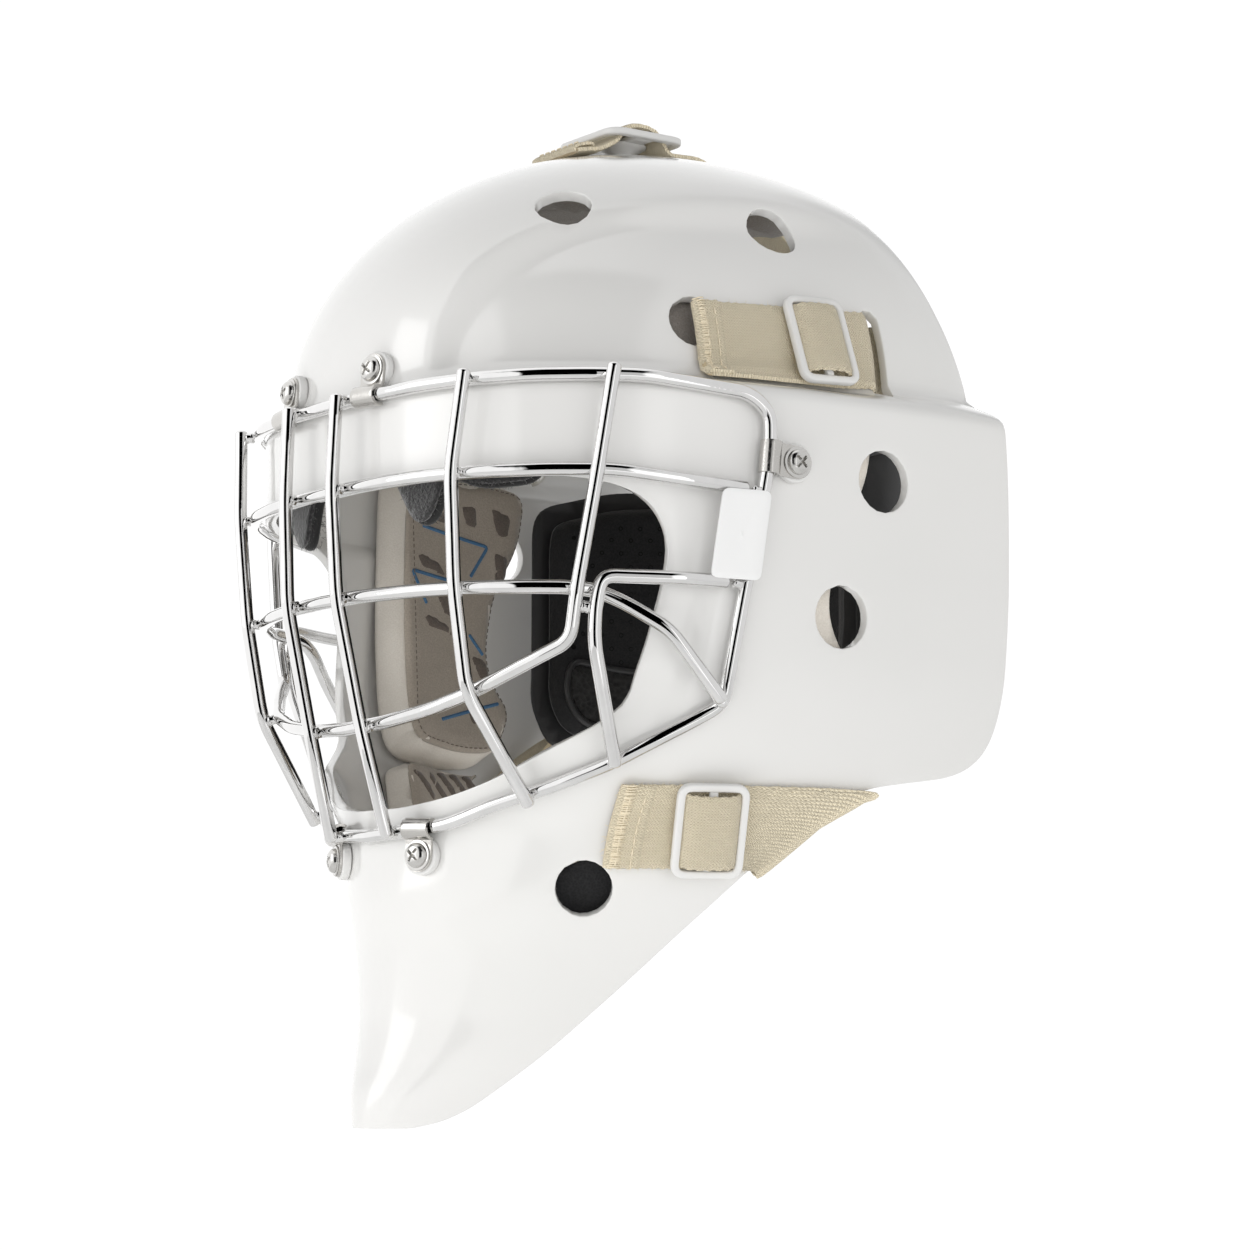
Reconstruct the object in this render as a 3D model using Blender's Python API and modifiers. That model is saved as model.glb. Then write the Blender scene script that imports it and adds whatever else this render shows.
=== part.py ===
"""Ice hockey goalie mask: moulded shell, bent-wire cage, straps, pads, backplate and chin cup.

Frame: +Z up, the mask faces -Y, the wearer's left is +X. The origin is the middle of the wearer's head, on the
mid-plane at the height of the ear canals. All lengths below are in millimetres and are scaled to metres by MM
when a mesh is made.
"""
import math

import bmesh
import bpy
from mathutils import Matrix, Vector

MM = 0.001
GAP = 0.35  # clearance between pieces that touch

# ---------------------------------------------------------------- driving dimensions (mm)
SHELL_WALL = 4.0
CHIN_Z = -178.6  # lowest point of the chin
DOME_BASE = 75.0
DOME_MID = 70.0  # height of the dome's centre
DOME_RISE = 102.0
DOME_HALF = 108.0
DOME_FRONT = 141.0  # semi-length forward of the dome's centre
DOME_REAR = 127.0
DOME_Y = 15.0
DOME_POWER = 2.15  # how full the dome's brow-to-crown profile is
# Horizontal sections of the shell below the dome:
# height, front y, half width, y of the widest point, squareness
SECTIONS = (
    (-180, -112, 25, -64, 2.0),
    (-168, -111, 33, -58, 2.0),
    (-155, -107.5, 46, -42, 2.0),
    (-140, -105, 59, -22, 2.0),
    (-120, -104.5, 75, -2, 2.0),
    (-99, -106, 91, 15, 2.0),
    (-80, -105, 102, 30, 2.05),
    (-66, -106, 108, 38, 2.2),
    (-50, -110, 113, 42, 2.4),
    (-20, -117, 118, 45, 2.7),
    (10, -121, 119, 45, 2.85),
    (40, -124, 119, 45, 2.9),
    (64, -124, 119, 45, 2.9),
    (DOME_BASE, -123, DOME_HALF, 18, 2.45),
)
BAND_REAR = 150.0  # semi-length behind the widest point, below the dome
PANEL_DEPTH = 3.5  # recess of the side panels below the crown band
# the shell's side outline, jaw edge then rear edge, as (y, z) going up
SIDE_OUTLINE = (
    (-101, -178.6), (-90, -176), (-78, -168), (-51, -138), (-19, -96), (4, -74), (20, -65), (40, -62),
    (60, -59.5), (72, -53), (78, -40), (80, -10), (81, 20), (81, 45), (80, 62), (79, 76), (75, 90),
    (69, 110), (63, 130), (56, 148), (50, 160), (47, 185),
)
# half of the eye port's outline, as (x, z), from the brow down to the chin bar
PORT_OUTLINE = (
    (0, 39), (35, 38.5), (65, 35.5), (90, 34.5), (102, 31), (106.3, 22), (106.6, 8), (103.5, -10),
    (98, -28), (89, -43), (63, -58.5), (40, -67), (18, -70.5), (0, -71),
)
SIDE_HOLES = (  # y, z, radius of the round holes in each side
    (22.5, 39.5, 10.7), (4.5, -8.0, 10.7), (-41.0, 93.0, 9.2), (-66.0, -99.0, 9.6),
)
CROWN_HOLES = ((59.0, -69.0, 9.8), (84.5, 4.0, 9.8))  # x, y, radius of the round holes in the crown
SLOT = (32.0, 87.5, 8.0, 34.0)  # temple strap slot: y, z, width, height
CROWN_SLOT = (31.0, 34.0, 8.0)  # crown strap slot: y, width, length along y

WIRE = 4.76  # cage wire diameter
WIRE_PITCH = WIRE + GAP  # from one wire's centre to that of a wire laid over it
CAGE_TOP = 66.0
CAGE_CLEAR = 1.2  # between the perimeter wire and the shell

STRAP = 28.0
STRAP_T = 2.2
SLIDER_H = 32.4
SLIDER_L = 25.0
SLIDER_T = 3.0
SLIDER_BAR = 3.2

SCREW_R = 4.5
WASHER_R = 6.6
WASHER_T = 1.6
CLIP_T = 1.3
CLIP_W = 11.0


# ---------------------------------------------------------------- shell surface
def smooth_table(stations, column, z):
    """Monotone cubic through one column of SECTIONS at height z."""
    zs = [row[0] for row in stations]
    vs = [row[column] for row in stations]
    z = min(max(z, zs[0]), zs[-1])
    i = min(max(sum(1 for level in zs if level < z) - 1, 0), len(zs) - 2)

    def slope(k):
        return (vs[k + 1] - vs[k]) / (zs[k + 1] - zs[k])

    def tangent(k):
        if k == 0:
            return slope(0)
        if k == len(zs) - 1:
            return slope(k - 1)
        before, after = slope(k - 1), slope(k)
        if before * after <= 0:
            return 0.0
        h0, h1 = zs[k] - zs[k - 1], zs[k + 1] - zs[k]
        return 3 * (h0 + h1) / ((2 * h1 + h0) / before + (h1 + 2 * h0) / after)

    h = zs[i + 1] - zs[i]
    t = (z - zs[i]) / h
    return (
        (1 + 2 * t) * (1 - t) ** 2 * vs[i]
        + t * (1 - t) ** 2 * h * tangent(i)
        + t * t * (3 - 2 * t) * vs[i + 1]
        + t * t * (t - 1) * h * tangent(i + 1)
    )


def section(z):
    """Front y, half width, widest y, squareness, rear length and rear squareness at height z."""
    if z <= DOME_BASE:
        front, half, widest, power = (smooth_table(SECTIONS, k, z) for k in (1, 2, 3, 4))
        blend = min(max((z - 60) / (DOME_BASE - 60), 0), 1)
        return front, half, widest, power, BAND_REAR + (DOME_REAR - BAND_REAR) * blend, 2.5 - 0.2 * blend
    rise = min((z - DOME_MID) / DOME_RISE, 0.99995)
    start = (DOME_BASE - DOME_MID) / DOME_RISE
    shrink = math.sqrt((1 - rise**2) / (1 - start**2))
    forward = ((1 - rise**DOME_POWER) / (1 - start**DOME_POWER)) ** (1 / DOME_POWER)
    up = (z - DOME_BASE) / (DOME_MID + DOME_RISE - DOME_BASE)
    widest = 18 + (DOME_Y - 18) * min(3 * up, 1)
    front = DOME_Y - (DOME_Y + 123) * forward
    return front, DOME_HALF * shrink, widest, 2.45 - 0.4 * up, DOME_REAR * shrink, 2.3


def level(point):
    """Below 0 inside the shell's outer surface, above 0 outside it."""
    x, y, z = point
    front, half, widest, power, rear, rear_power = section(z)
    if y < widest:
        return (abs(x) / half) ** power + ((widest - y) / (widest - front)) ** power - 1
    return (abs(x) / half) ** rear_power + ((y - widest) / rear) ** rear_power - 1


def normal(point, step=0.05):
    """Outward normal of the shell's surface."""
    grad = [
        level([c + step * (k == axis) for k, c in enumerate(point)])
        - level([c - step * (k == axis) for k, c in enumerate(point)])
        for axis in range(3)
    ]
    return Vector(grad).normalized()


def ease(value, low, high):
    t = min(max((value - low) / (high - low), 0), 1)
    return t * t * (3 - 2 * t)


def relief(point):
    """How far the side panel is sunk below the crown band here."""
    x, y, z = point
    fade = 1 - ease(y, 10, 55)
    crease = 46 + 30 * math.sin(math.pi / 2 * min(max((y + 112) / 110, 0), 1))
    return PANEL_DEPTH * fade * ease(abs(x) - crease, -2, 9) * ease(z, 68, 78)


def raised(point, lift):
    """The point moved out from the shell's moulded surface by lift (in when negative)."""
    return Vector(point) + normal(point) * (lift - relief(point))


def on_side(y, z, lift=0.0, side=1):
    """Point over the side of the shell at this y and z."""
    front, half, widest, power, rear, rear_power = section(z)
    if y < widest:
        x = half * max(1 - ((widest - y) / (widest - front)) ** power, 0) ** (1 / power)
    else:
        x = half * max(1 - ((y - widest) / rear) ** rear_power, 0) ** (1 / rear_power)
    p = raised((x, y, z), lift)
    return Vector((p.x * side, p.y, p.z))


def on_front(x, z, lift=0.0):
    """Point over the front of the shell at this x and z."""
    front, half, widest, power, _, _ = section(z)
    y = widest - (widest - front) * (1 - (abs(x) / half) ** power) ** (1 / power)
    p = raised((abs(x), y, z), lift)
    return Vector((math.copysign(p.x, x), p.y, p.z))


def on_crown(x, y, lift=0.0):
    """Point over the dome at this x and y."""
    low, high = DOME_BASE, DOME_MID + DOME_RISE - 0.01
    for _ in range(40):
        mid = (low + high) / 2
        low, high = (mid, high) if level((x, y, mid)) < 0 else (low, mid)
    p = raised((abs(x), y, low), lift)
    return Vector((math.copysign(p.x, x), p.y, p.z))


# ---------------------------------------------------------------- Blender helpers
for old in list(bpy.data.objects):
    bpy.data.objects.remove(old)
PARTS = bpy.data.collections.new("goalie_mask")
CUTTERS = bpy.data.collections.new("cutters")
for group in (PARTS, CUTTERS):
    bpy.context.scene.collection.children.link(group)


def material(name, colour, roughness, metallic=0.0):
    mat = bpy.data.materials.new(name)
    mat.use_nodes = True
    shader = mat.node_tree.nodes["Principled BSDF"]
    shader.inputs["Base Color"].default_value = (*colour, 1.0)
    shader.inputs["Roughness"].default_value = roughness
    shader.inputs["Metallic"].default_value = metallic
    return mat


MATERIALS = {
    "white_shell": material("white_shell", (0.86, 0.855, 0.84), 0.12),
    "chrome": material("chrome", (0.82, 0.82, 0.83), 0.07, 1.0),
    "steel": material("steel", (0.62, 0.61, 0.60), 0.25, 1.0),
    "white_plastic": material("white_plastic", (0.84, 0.84, 0.83), 0.4),
    "webbing": material("webbing", (0.76, 0.66, 0.46), 0.9),
    "pad_foam": material("pad_foam", (0.62, 0.55, 0.47), 0.85),
    "black_fabric": material("black_fabric", (0.02, 0.02, 0.022), 0.95),
    "black_plastic": material("black_plastic", (0.025, 0.025, 0.027), 0.5),
}


def add(mesh, name, mat, group=PARTS):
    obj = bpy.data.objects.new(name, mesh)
    group.objects.link(obj)
    if mat:
        mesh.materials.append(MATERIALS[mat])
    if group is CUTTERS:
        obj.hide_render = True
        obj.display_type = "WIRE"
    return obj


def mesh_from(bm, name):
    bmesh.ops.recalc_face_normals(bm, faces=bm.faces)
    mesh = bpy.data.meshes.new(name)
    bm.to_mesh(mesh)
    bm.free()
    mesh.shade_smooth()
    mesh.set_sharp_from_angle(angle=math.radians(35))
    return mesh


def in_metres(place):
    """A placing matrix in mm as an object's matrix in metres."""
    out = place.copy()
    out.translation = place.translation * MM
    return out


def hang(objects, name, pivot):
    """Puts objects under an empty at the pivot, which becomes their origin."""
    empty = bpy.data.objects.new(name, None)
    PARTS.objects.link(empty)
    empty.location = Vector(pivot) * MM
    for obj in objects:
        obj.data.transform(Matrix.Translation(Vector(pivot) * -MM))
        obj.parent = empty


def solidify(obj, thickness, offset=-1.0, even=True):
    mod = obj.modifiers.new("wall", "SOLIDIFY")
    mod.thickness = thickness * MM
    mod.offset = offset
    mod.use_even_offset = even
    return mod


def grid_sheet(name, rows, cols, place, thickness, mat):
    """A sheet of rows by cols points given by place(u, v), thickened towards its back."""
    bm = bmesh.new()
    points = [
        [bm.verts.new(place(r / (rows - 1), c / (cols - 1)) * MM) for c in range(cols)] for r in range(rows)
    ]
    for r in range(rows - 1):
        for c in range(cols - 1):
            bm.faces.new((points[r][c], points[r][c + 1], points[r + 1][c + 1], points[r + 1][c]))
    mesh = bpy.data.meshes.new(name)
    bm.to_mesh(mesh)
    bm.free()
    mesh.shade_smooth()
    obj = add(mesh, name, mat)
    solidify(obj, thickness, 0.0)
    return obj


def rounded(points, radius=6.0, steps=2):
    """A closed outline with each corner replaced by a short arc."""
    out = []
    count = len(points)
    for i in range(count):
        before, here, after = (Vector(points[(i + k) % count]) for k in (-1, 0, 1))
        r0 = min(radius, (before - here).length * 0.45)
        r1 = min(radius, (after - here).length * 0.45)
        start = here + (before - here).normalized() * r0
        end = here + (after - here).normalized() * r1
        for s in range(steps + 1):
            t = s / steps
            out.append(start * (1 - t) ** 2 + here * 2 * t * (1 - t) + end * t * t)
    return out


def outline_sheet(name, outline, place, step, thickness, mat):
    """A flat outline cut into a grid of the given step, and laid as two skins by place(a, b, lift)."""
    flat = bmesh.new()
    flat.faces.new([flat.verts.new((p[0], p[1], 0)) for p in outline])
    for axis in (0, 1):
        low = min(p[axis] for p in outline)
        high = max(p[axis] for p in outline)
        cut = math.ceil(low / step + 0.2) * step
        while cut < high - 0.2 * step:
            where = Vector((cut, 0, 0)) if axis == 0 else Vector((0, cut, 0))
            across = Vector((1, 0, 0)) if axis == 0 else Vector((0, 1, 0))
            everything = flat.verts[:] + flat.edges[:] + flat.faces[:]
            bmesh.ops.bisect_plane(flat, geom=everything, dist=1e-4, plane_co=where, plane_no=across)
            cut += step
    bmesh.ops.triangulate(flat, faces=flat.faces[:])
    bm = bmesh.new()
    outer = [bm.verts.new(place(v.co.x, v.co.y, thickness / 2) * MM) for v in flat.verts]
    inner = [bm.verts.new(place(v.co.x, v.co.y, -thickness / 2) * MM) for v in flat.verts]
    flat.verts.index_update()
    for face in flat.faces:
        corners = [v.index for v in face.verts]
        bm.faces.new([outer[k] for k in corners])
        bm.faces.new([inner[k] for k in reversed(corners)])
    for edge in flat.edges:
        if len(edge.link_faces) == 1:
            a, b = (v.index for v in edge.verts)
            bm.faces.new((outer[a], outer[b], inner[b]))
            bm.faces.new((outer[a], inner[b], inner[a]))
    flat.free()
    return add(mesh_from(bm, name), name, mat)


def curve_points(points, per_span):
    """Points on a smooth curve through the given ones (centripetal spans made by halving the tangents)."""
    pts = [Vector(p) for p in points]
    out = [pts[0]]
    for i in range(len(pts) - 1):
        a, b = pts[i], pts[i + 1]
        ta = (b - (pts[i - 1] if i else a)) * (0.5 if i else 1.0)
        tb = ((pts[i + 2] if i + 2 < len(pts) else b) - a) * (0.5 if i + 2 < len(pts) else 1.0)
        for s in range(1, per_span + 1):
            t = s / per_span
            out.append(
                a * (1 + 2 * t) * (1 - t) ** 2 + ta * t * (1 - t) ** 2 + b * t * t * (3 - 2 * t)
                + tb * t * t * (t - 1)
            )
    return out


def bend(points, radius, steps=3):
    """An open wire route with its inner corners rounded to about the given radius."""
    pts = [Vector(p) for p in points]
    out = [pts[0]]
    for before, here, after in zip(pts, pts[1:], pts[2:]):
        a, b = (before - here), (after - here)
        reach = min(radius, a.length * 0.45, b.length * 0.45)
        start, end = here + a.normalized() * reach, here + b.normalized() * reach
        for s in range(steps + 1):
            t = s / steps
            out.append(start * (1 - t) ** 2 + here * 2 * t * (1 - t) + end * t * t)
    out.append(pts[-1])
    return out


def wire(name, points, mat="chrome", diameter=WIRE, closed=False, sides=1):
    """A round wire along the points."""
    curve = bpy.data.curves.new(name, "CURVE")
    curve.dimensions = "3D"
    curve.bevel_depth = diameter / 2 * MM
    curve.bevel_resolution = sides
    curve.use_fill_caps = not closed
    spline = curve.splines.new("POLY")
    spline.points.add(len(points) - 1)
    for target, p in zip(spline.points, points):
        target.co = (p[0] * MM, p[1] * MM, p[2] * MM, 1)
    spline.use_cyclic_u = closed
    obj = bpy.data.objects.new(name, curve)
    PARTS.objects.link(obj)
    curve.materials.append(MATERIALS[mat])
    return obj


def box_outline(width, height, corner, x=0.0):
    """A rectangle centred on (x, 0) with rounded corners."""
    a, b = width / 2, height / 2
    return rounded([(x - a, -b), (x + a, -b), (x + a, b), (x - a, b)], corner)


def plate(name, outlines, thickness, place, mat=None, group=PARTS):
    """A flat piece along local XY: the first closed outline is its edge, the others are windows in it."""
    curve = bpy.data.curves.new(name, "CURVE")
    curve.dimensions = "2D"
    curve.fill_mode = "BOTH"
    curve.extrude = thickness / 2 * MM
    for outline in outlines:
        spline = curve.splines.new("POLY")
        spline.points.add(len(outline) - 1)
        for target, p in zip(spline.points, outline):
            target.co = (p[0] * MM, p[1] * MM, 0, 1)
        spline.use_cyclic_u = True
    obj = bpy.data.objects.new(name, curve)
    group.objects.link(obj)
    obj.matrix_world = in_metres(place)
    if mat:
        curve.materials.append(MATERIALS[mat])
    return obj


def as_mesh(obj, group=PARTS):
    """The curve object made a mesh object, so that it can be cut, joined or used as a cutter."""
    name, matrix, curve = obj.name, obj.matrix_world.copy(), obj.data
    graph = bpy.context.evaluated_depsgraph_get()
    mesh = bpy.data.meshes.new_from_object(obj.evaluated_get(graph))
    bpy.data.objects.remove(obj)
    bpy.data.curves.remove(curve)
    bm = bmesh.new()
    bm.from_mesh(mesh)
    bmesh.ops.remove_doubles(bm, verts=bm.verts, dist=1e-6)
    bmesh.ops.recalc_face_normals(bm, faces=bm.faces)
    bm.to_mesh(mesh)
    bm.free()
    solid = add(mesh, name, None, group)
    solid.matrix_world = matrix
    return solid


def frame_at(point, out, along):
    """Matrix whose Z is out, whose X lies as near as it can to along, at point."""
    z = Vector(out).normalized()
    x = (Vector(along) - z * z.dot(Vector(along))).normalized()
    y = z.cross(x)
    return Matrix.Translation(point) @ Matrix((x, y, z)).transposed().to_4x4()


def turned(name, profile, place, mat, steps=14, group=PARTS):
    """A turned piece: (radius, height) profile run from its top down, screwed about local Z."""
    mesh = bpy.data.meshes.new(name)
    mesh.from_pydata([(r * MM, 0, h * MM) for r, h in profile], [(i, i + 1) for i in range(len(profile) - 1)], [])
    obj = add(mesh, name, mat, group)
    obj.matrix_world = in_metres(place)
    mod = obj.modifiers.new("turn", "SCREW")
    mod.steps = steps
    mod.render_steps = steps
    mod.use_merge_vertices = True
    mod.merge_threshold = 1e-5
    mod.use_smooth_shade = True
    return obj


# ---------------------------------------------------------------- shell
def ring(z, count):
    """Points evenly spaced round the shell's section at height z."""
    front, half, widest, power, rear, rear_power = section(z)
    fine = []
    samples = 160
    for i in range(samples):
        a = math.pi * i / (samples - 1)
        s, c = math.sin(a), math.cos(a)
        if c >= 0:
            fine.append(Vector((half * s ** (2 / power), widest - (widest - front) * c ** (2 / power), z)))
        else:
            fine.append(Vector((half * s ** (2 / rear_power), widest + rear * (-c) ** (2 / rear_power), z)))
    along = [0.0]
    for a, b in zip(fine, fine[1:]):
        along.append(along[-1] + (b - a).length)
    half_ring = []
    k = 0
    for i in range(count // 2 + 1):
        want = along[-1] * i / (count // 2)
        while k < samples - 2 and along[k + 1] < want:
            k += 1
        t = (want - along[k]) / max(along[k + 1] - along[k], 1e-9)
        half_ring.append(fine[k].lerp(fine[k + 1], t))
    left = [raised(p, 0.0) for p in half_ring]
    for end in (left[0], left[-1]):
        end.x = 0.0
    right = [Vector((-p.x, p.y, p.z)) for p in left[-2:0:-1]]
    return left + right


def cylinder_cutter(name, centre, direction, radius, depth):
    bm = bmesh.new()
    bmesh.ops.create_cone(
        bm, cap_ends=True, segments=20, radius1=radius * MM, radius2=radius * MM, depth=depth * MM
    )
    obj = add(mesh_from(bm, name), name, None, CUTTERS)
    turn = Vector(direction).to_track_quat("Z", "Y").to_matrix().to_4x4()
    obj.matrix_world = Matrix.Translation(centre * MM) @ turn
    return obj


def slot_cutter(name, place, length, width, depth):
    """A round-ended slot, length along local X, cut along local Z."""
    a, b = length / 2, width / 2
    outline = rounded([(-a, -b), (a, -b), (a, b), (-a, b)], width * 0.5, 3)
    return as_mesh(plate(name, [outline], depth, place, None, CUTTERS), CUTTERS)


def port_cutter():
    """The eye port: its outline on the shell carried out and in along the surface normals."""
    half = curve_points([Vector((x, z)) for x, z in PORT_OUTLINE], 2)
    outline = [Vector((p.x, p.y)) for p in half] + [Vector((-p.x, p.y)) for p in half[-2:0:-1]]
    bm = bmesh.new()
    outer = [bm.verts.new(on_front(p.x, p.y, 25) * MM) for p in outline]
    inner = [bm.verts.new(on_front(p.x, p.y, -22) * MM) for p in outline]
    front_tip = bm.verts.new(Vector((0, -190, -10)) * MM)
    back_tip = bm.verts.new(Vector((0, -50, -10)) * MM)
    for i in range(len(outline)):
        j = (i + 1) % len(outline)
        bm.faces.new((outer[i], outer[j], inner[j], inner[i]))
        bm.faces.new((outer[j], outer[i], front_tip))
        bm.faces.new((inner[i], inner[j], back_tip))
    return add(mesh_from(bm, "port_cutter"), "port_cutter", None, CUTTERS)


def side_cutter():
    """Keeps what lies inside the shell's side outline."""
    outline = list(SIDE_OUTLINE) + [(-200, 190), (-200, CHIN_Z)]
    sideways = Matrix(((0, 0, 1), (1, 0, 0), (0, 1, 0))).to_4x4()
    return as_mesh(plate("side_cutter", [outline], 300, sideways, None, CUTTERS), CUTTERS)


def shell_cutters():
    cutters = [port_cutter()]
    for side in (1, -1):
        tag = "left" if side > 0 else "right"
        for k, (y, z, radius) in enumerate(SIDE_HOLES):
            p = on_side(y, z, 0, side)
            out = normal((abs(p.x), p.y, p.z))
            cutters.append(cylinder_cutter(f"side_hole_{tag}_{k}", p, (out.x * side, out.y, out.z), radius, 26))
        for k, (x, y, radius) in enumerate(CROWN_HOLES):
            p = on_crown(x * side, y)
            out = normal((abs(p.x), p.y, p.z))
            cutters.append(cylinder_cutter(f"crown_hole_{tag}_{k}", p, (out.x * side, out.y, out.z), radius, 26))
        y, z, width, height = SLOT
        p = on_side(y, z, 0, side)
        out = normal((abs(p.x), p.y, p.z))
        place = frame_at(p, (out.x * side, out.y, out.z), (0, 0, 1))
        cutters.append(slot_cutter(f"temple_slot_{tag}", place, height, width, 30))
    y, width, length = CROWN_SLOT
    p = on_crown(0, y)
    cutters.append(slot_cutter("crown_slot", frame_at(p, normal(p), (1, 0, 0)), width, length, 26))
    return cutters


def build_shell(count=44):
    steps = 11
    heights = [CHIN_Z, -170, -161, -151, -140, -128, -115, -101, -88, -76, -64, -52, -38, -22, -4, 14, 30, 44, 55, 62,
               66, 69, 72, DOME_BASE]
    start = math.asin((DOME_BASE - DOME_MID) / DOME_RISE)
    for i in range(1, steps + 1):
        heights.append(DOME_MID + DOME_RISE * math.sin(start + (math.radians(86) - start) * i / steps))
    bm = bmesh.new()
    rings = [[bm.verts.new(p * MM) for p in ring(z, count)] for z in heights]
    for a, b in zip(rings, rings[1:]):
        for i in range(count):
            j = (i + 1) % count
            bm.faces.new((a[i], a[j], b[j], b[i]))
    crown = bm.verts.new(Vector((0, DOME_Y, DOME_MID + DOME_RISE)) * MM)
    for i in range(count):
        bm.faces.new((rings[-1][i], rings[-1][(i + 1) % count], crown))
    shell = add(mesh_from(bm, "shell"), "shell", "white_shell")
    solidify(shell, SHELL_WALL)
    keep = shell.modifiers.new("side outline", "BOOLEAN")
    keep.operation = "INTERSECT"
    keep.object = side_cutter()
    for cutter in shell_cutters():
        mod = shell.modifiers.new(cutter.name, "BOOLEAN")
        mod.operation = "DIFFERENCE"
        mod.object = cutter
    return shell


# ---------------------------------------------------------------- cage
LIFT = WIRE / 2 + CAGE_CLEAR  # perimeter wire's centre above the shell


def perimeter_route():
    """Half of the perimeter wire, from the brow's middle down the temple to the chin's middle."""
    top = [on_front(x, CAGE_TOP, LIFT) for x in (0, 14, 30, 50, 68, 84, 96, 104)]
    rear = [on_side(-34, 64, LIFT), on_side(-26.5, 58, LIFT), on_side(-26.5, 45, LIFT), on_side(-30, 25, LIFT),
            on_side(-35, 0, LIFT), on_side(-38, -24, LIFT), on_side(-38.5, -38, LIFT), on_side(-46, -43, LIFT)]
    low = [on_front(x, z, LIFT) for x, z in ((94, -50), (84, -57), (70, -64), (52, -70.5), (36, -77), (16, -79.2))]
    return top + rear + low + [on_front(0, -80, LIFT)]


def both_sides(points):
    """A route across the mask from its left half, given from the mid-plane outwards."""
    left = [Vector(p) for p in points]
    return [Vector((-p.x, p.y, p.z)) for p in left[:0:-1]] + left


def build_cage():
    half = bend(perimeter_route(), 7, 2)
    loop = half + [Vector((-p.x, p.y, p.z)) for p in half[-2:0:-1]]
    wire("cage_perimeter", loop, closed=True)

    over = LIFT + WIRE_PITCH  # lift of a wire laid over the perimeter
    brow = [on_front(x, 36.2, 4.2) for x in (0, 18, 36, 54, 72, 88, 100)]
    brow += [on_side(-52, 33.2, 3.9), on_side(-34.5, 32, LIFT)]
    wire("cage_brow_bar", both_sides(bend(brow, 8, 2)))
    eye = [(0, -127.2, -1), (22, -125.8, -1), (45, -121, -1.2), (65.5, -113.4, -1.6), (82, -101, -1.9),
           (91, -88.5, -2), (94.5, -79.5, -3), (99.5, -72, -7), on_side(-59, -15, 5.5), on_side(-40.5, -36.5, over)]
    wire("cage_eye_bar", both_sides(bend(eye, 8, 2)))
    lower = [(0, -117.3, -43.8), (22, -116.4, -43), (45, -112.7, -40), (64.2, -107.3, -34.8), (82, -96.5, -25.5),
             (92, -88.6, -19.5), (96.7, -89.3, -2), (104.9, -87.1, 35), on_front(99.5, 65.5, over + 2.8)]
    wire("cage_lower_bar", both_sides(bend(lower, 7, 2)))
    centre = [on_front(15.6, 67.5, over), (15.4, -133.6, 36), (16.2, -131.8, -1), (16.6, -122.2, -43.4),
              on_front(16.4, -81.5, over)]
    outer = [on_front(69, 66, over + 1.3), (69.4, -120.9, 36), (67.9, -118.3, -1.5), (66.6, -112.5, -35.2),
             on_front(63, -69.5, over)]
    cheek = [on_side(-41, 1, 4.2), on_side(-58, 1.5, 4.8), (99.5, -81.5, 1.5), (98.4, -83.2, -8), (97.3, -83, -20),
             on_side(-66, -56.5, over)]
    for side, tag in ((1, "left"), (-1, "right")):
        for name, points, radius in (("centre", centre, 8), ("outer", outer, 8), ("cheek", cheek, 9)):
            route = [Vector((p[0] * side, p[1], p[2])) for p in points]
            wire(f"cage_{name}_bar_{tag}", bend(route, radius, 2))
    label = [(-43, 31), (-27, 31), (-31.5, 1.5), (-46.5, 1.5)]
    outline_sheet("cage_label_plate", rounded(label, 3), lambda y, z, t: on_side(y, z, LIFT + 3.3 + t), 14, 0.8,
                  "steel")


# ---------------------------------------------------------------- clips and their screws
def clip_fixing(name, hook, hole):
    """A J-clip hooked over the perimeter wire at hook and screwed to the shell at hole."""
    out = normal((abs(hole.x), hole.y, hole.z))
    out = Vector((math.copysign(out.x, hole.x) if hole.x else 0, out.y, out.z))
    way = (hole - hook)
    way = (way - out * way.dot(out)).normalized()
    across = out.cross(way)
    reach = (hole - hook).dot(way)
    height = (hook - hole).dot(out)
    seat = WASHER_T + 3 * GAP + 0.4 + CLIP_T / 2
    radius = WIRE / 2 + 2.2 * GAP + CLIP_T / 2
    profile = [(5.5, seat), (0.3 - reach + radius, seat)]
    # the strip climbs over the wire and curls back under it
    for k in range(0, 8):
        angle = math.radians(10 + 200 * k / 7)
        profile.append((-reach + radius * math.cos(angle), height + radius * math.sin(angle)))

    def place(u, v):
        index = u * (len(profile) - 1)
        k = min(int(index), len(profile) - 2)
        s, h = (profile[k][n] + (profile[k + 1][n] - profile[k][n]) * (index - k) for n in (0, 1))
        return hole + way * s + out * max(h, 0) + across * (v - 0.5) * CLIP_W

    grid_sheet(f"{name}_clip", len(profile), 2, place, CLIP_T, "steel")
    seat_at = frame_at(hole, out, way)
    foot = GAP + 0.7
    turned(f"{name}_washer", [(0, foot + WASHER_T), (WASHER_R, foot + WASHER_T), (WASHER_R, foot), (0, foot)],
           seat_at, "white_plastic", 12)
    head = seat + CLIP_T / 2 + GAP
    under = -SHELL_WALL - 1.4
    turned(f"{name}_screw", [(0, head + 2.9), (SCREW_R * 0.6, head + 2.5), (SCREW_R * 0.95, head + 1.3),
                             (SCREW_R, head), (0, head)], seat_at, "steel", 12)
    turned(f"{name}_nut", [(0, under), (5.5, under), (5.5, under - 1.4), (0, under - 1.4)], seat_at, "steel", 10)


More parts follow.
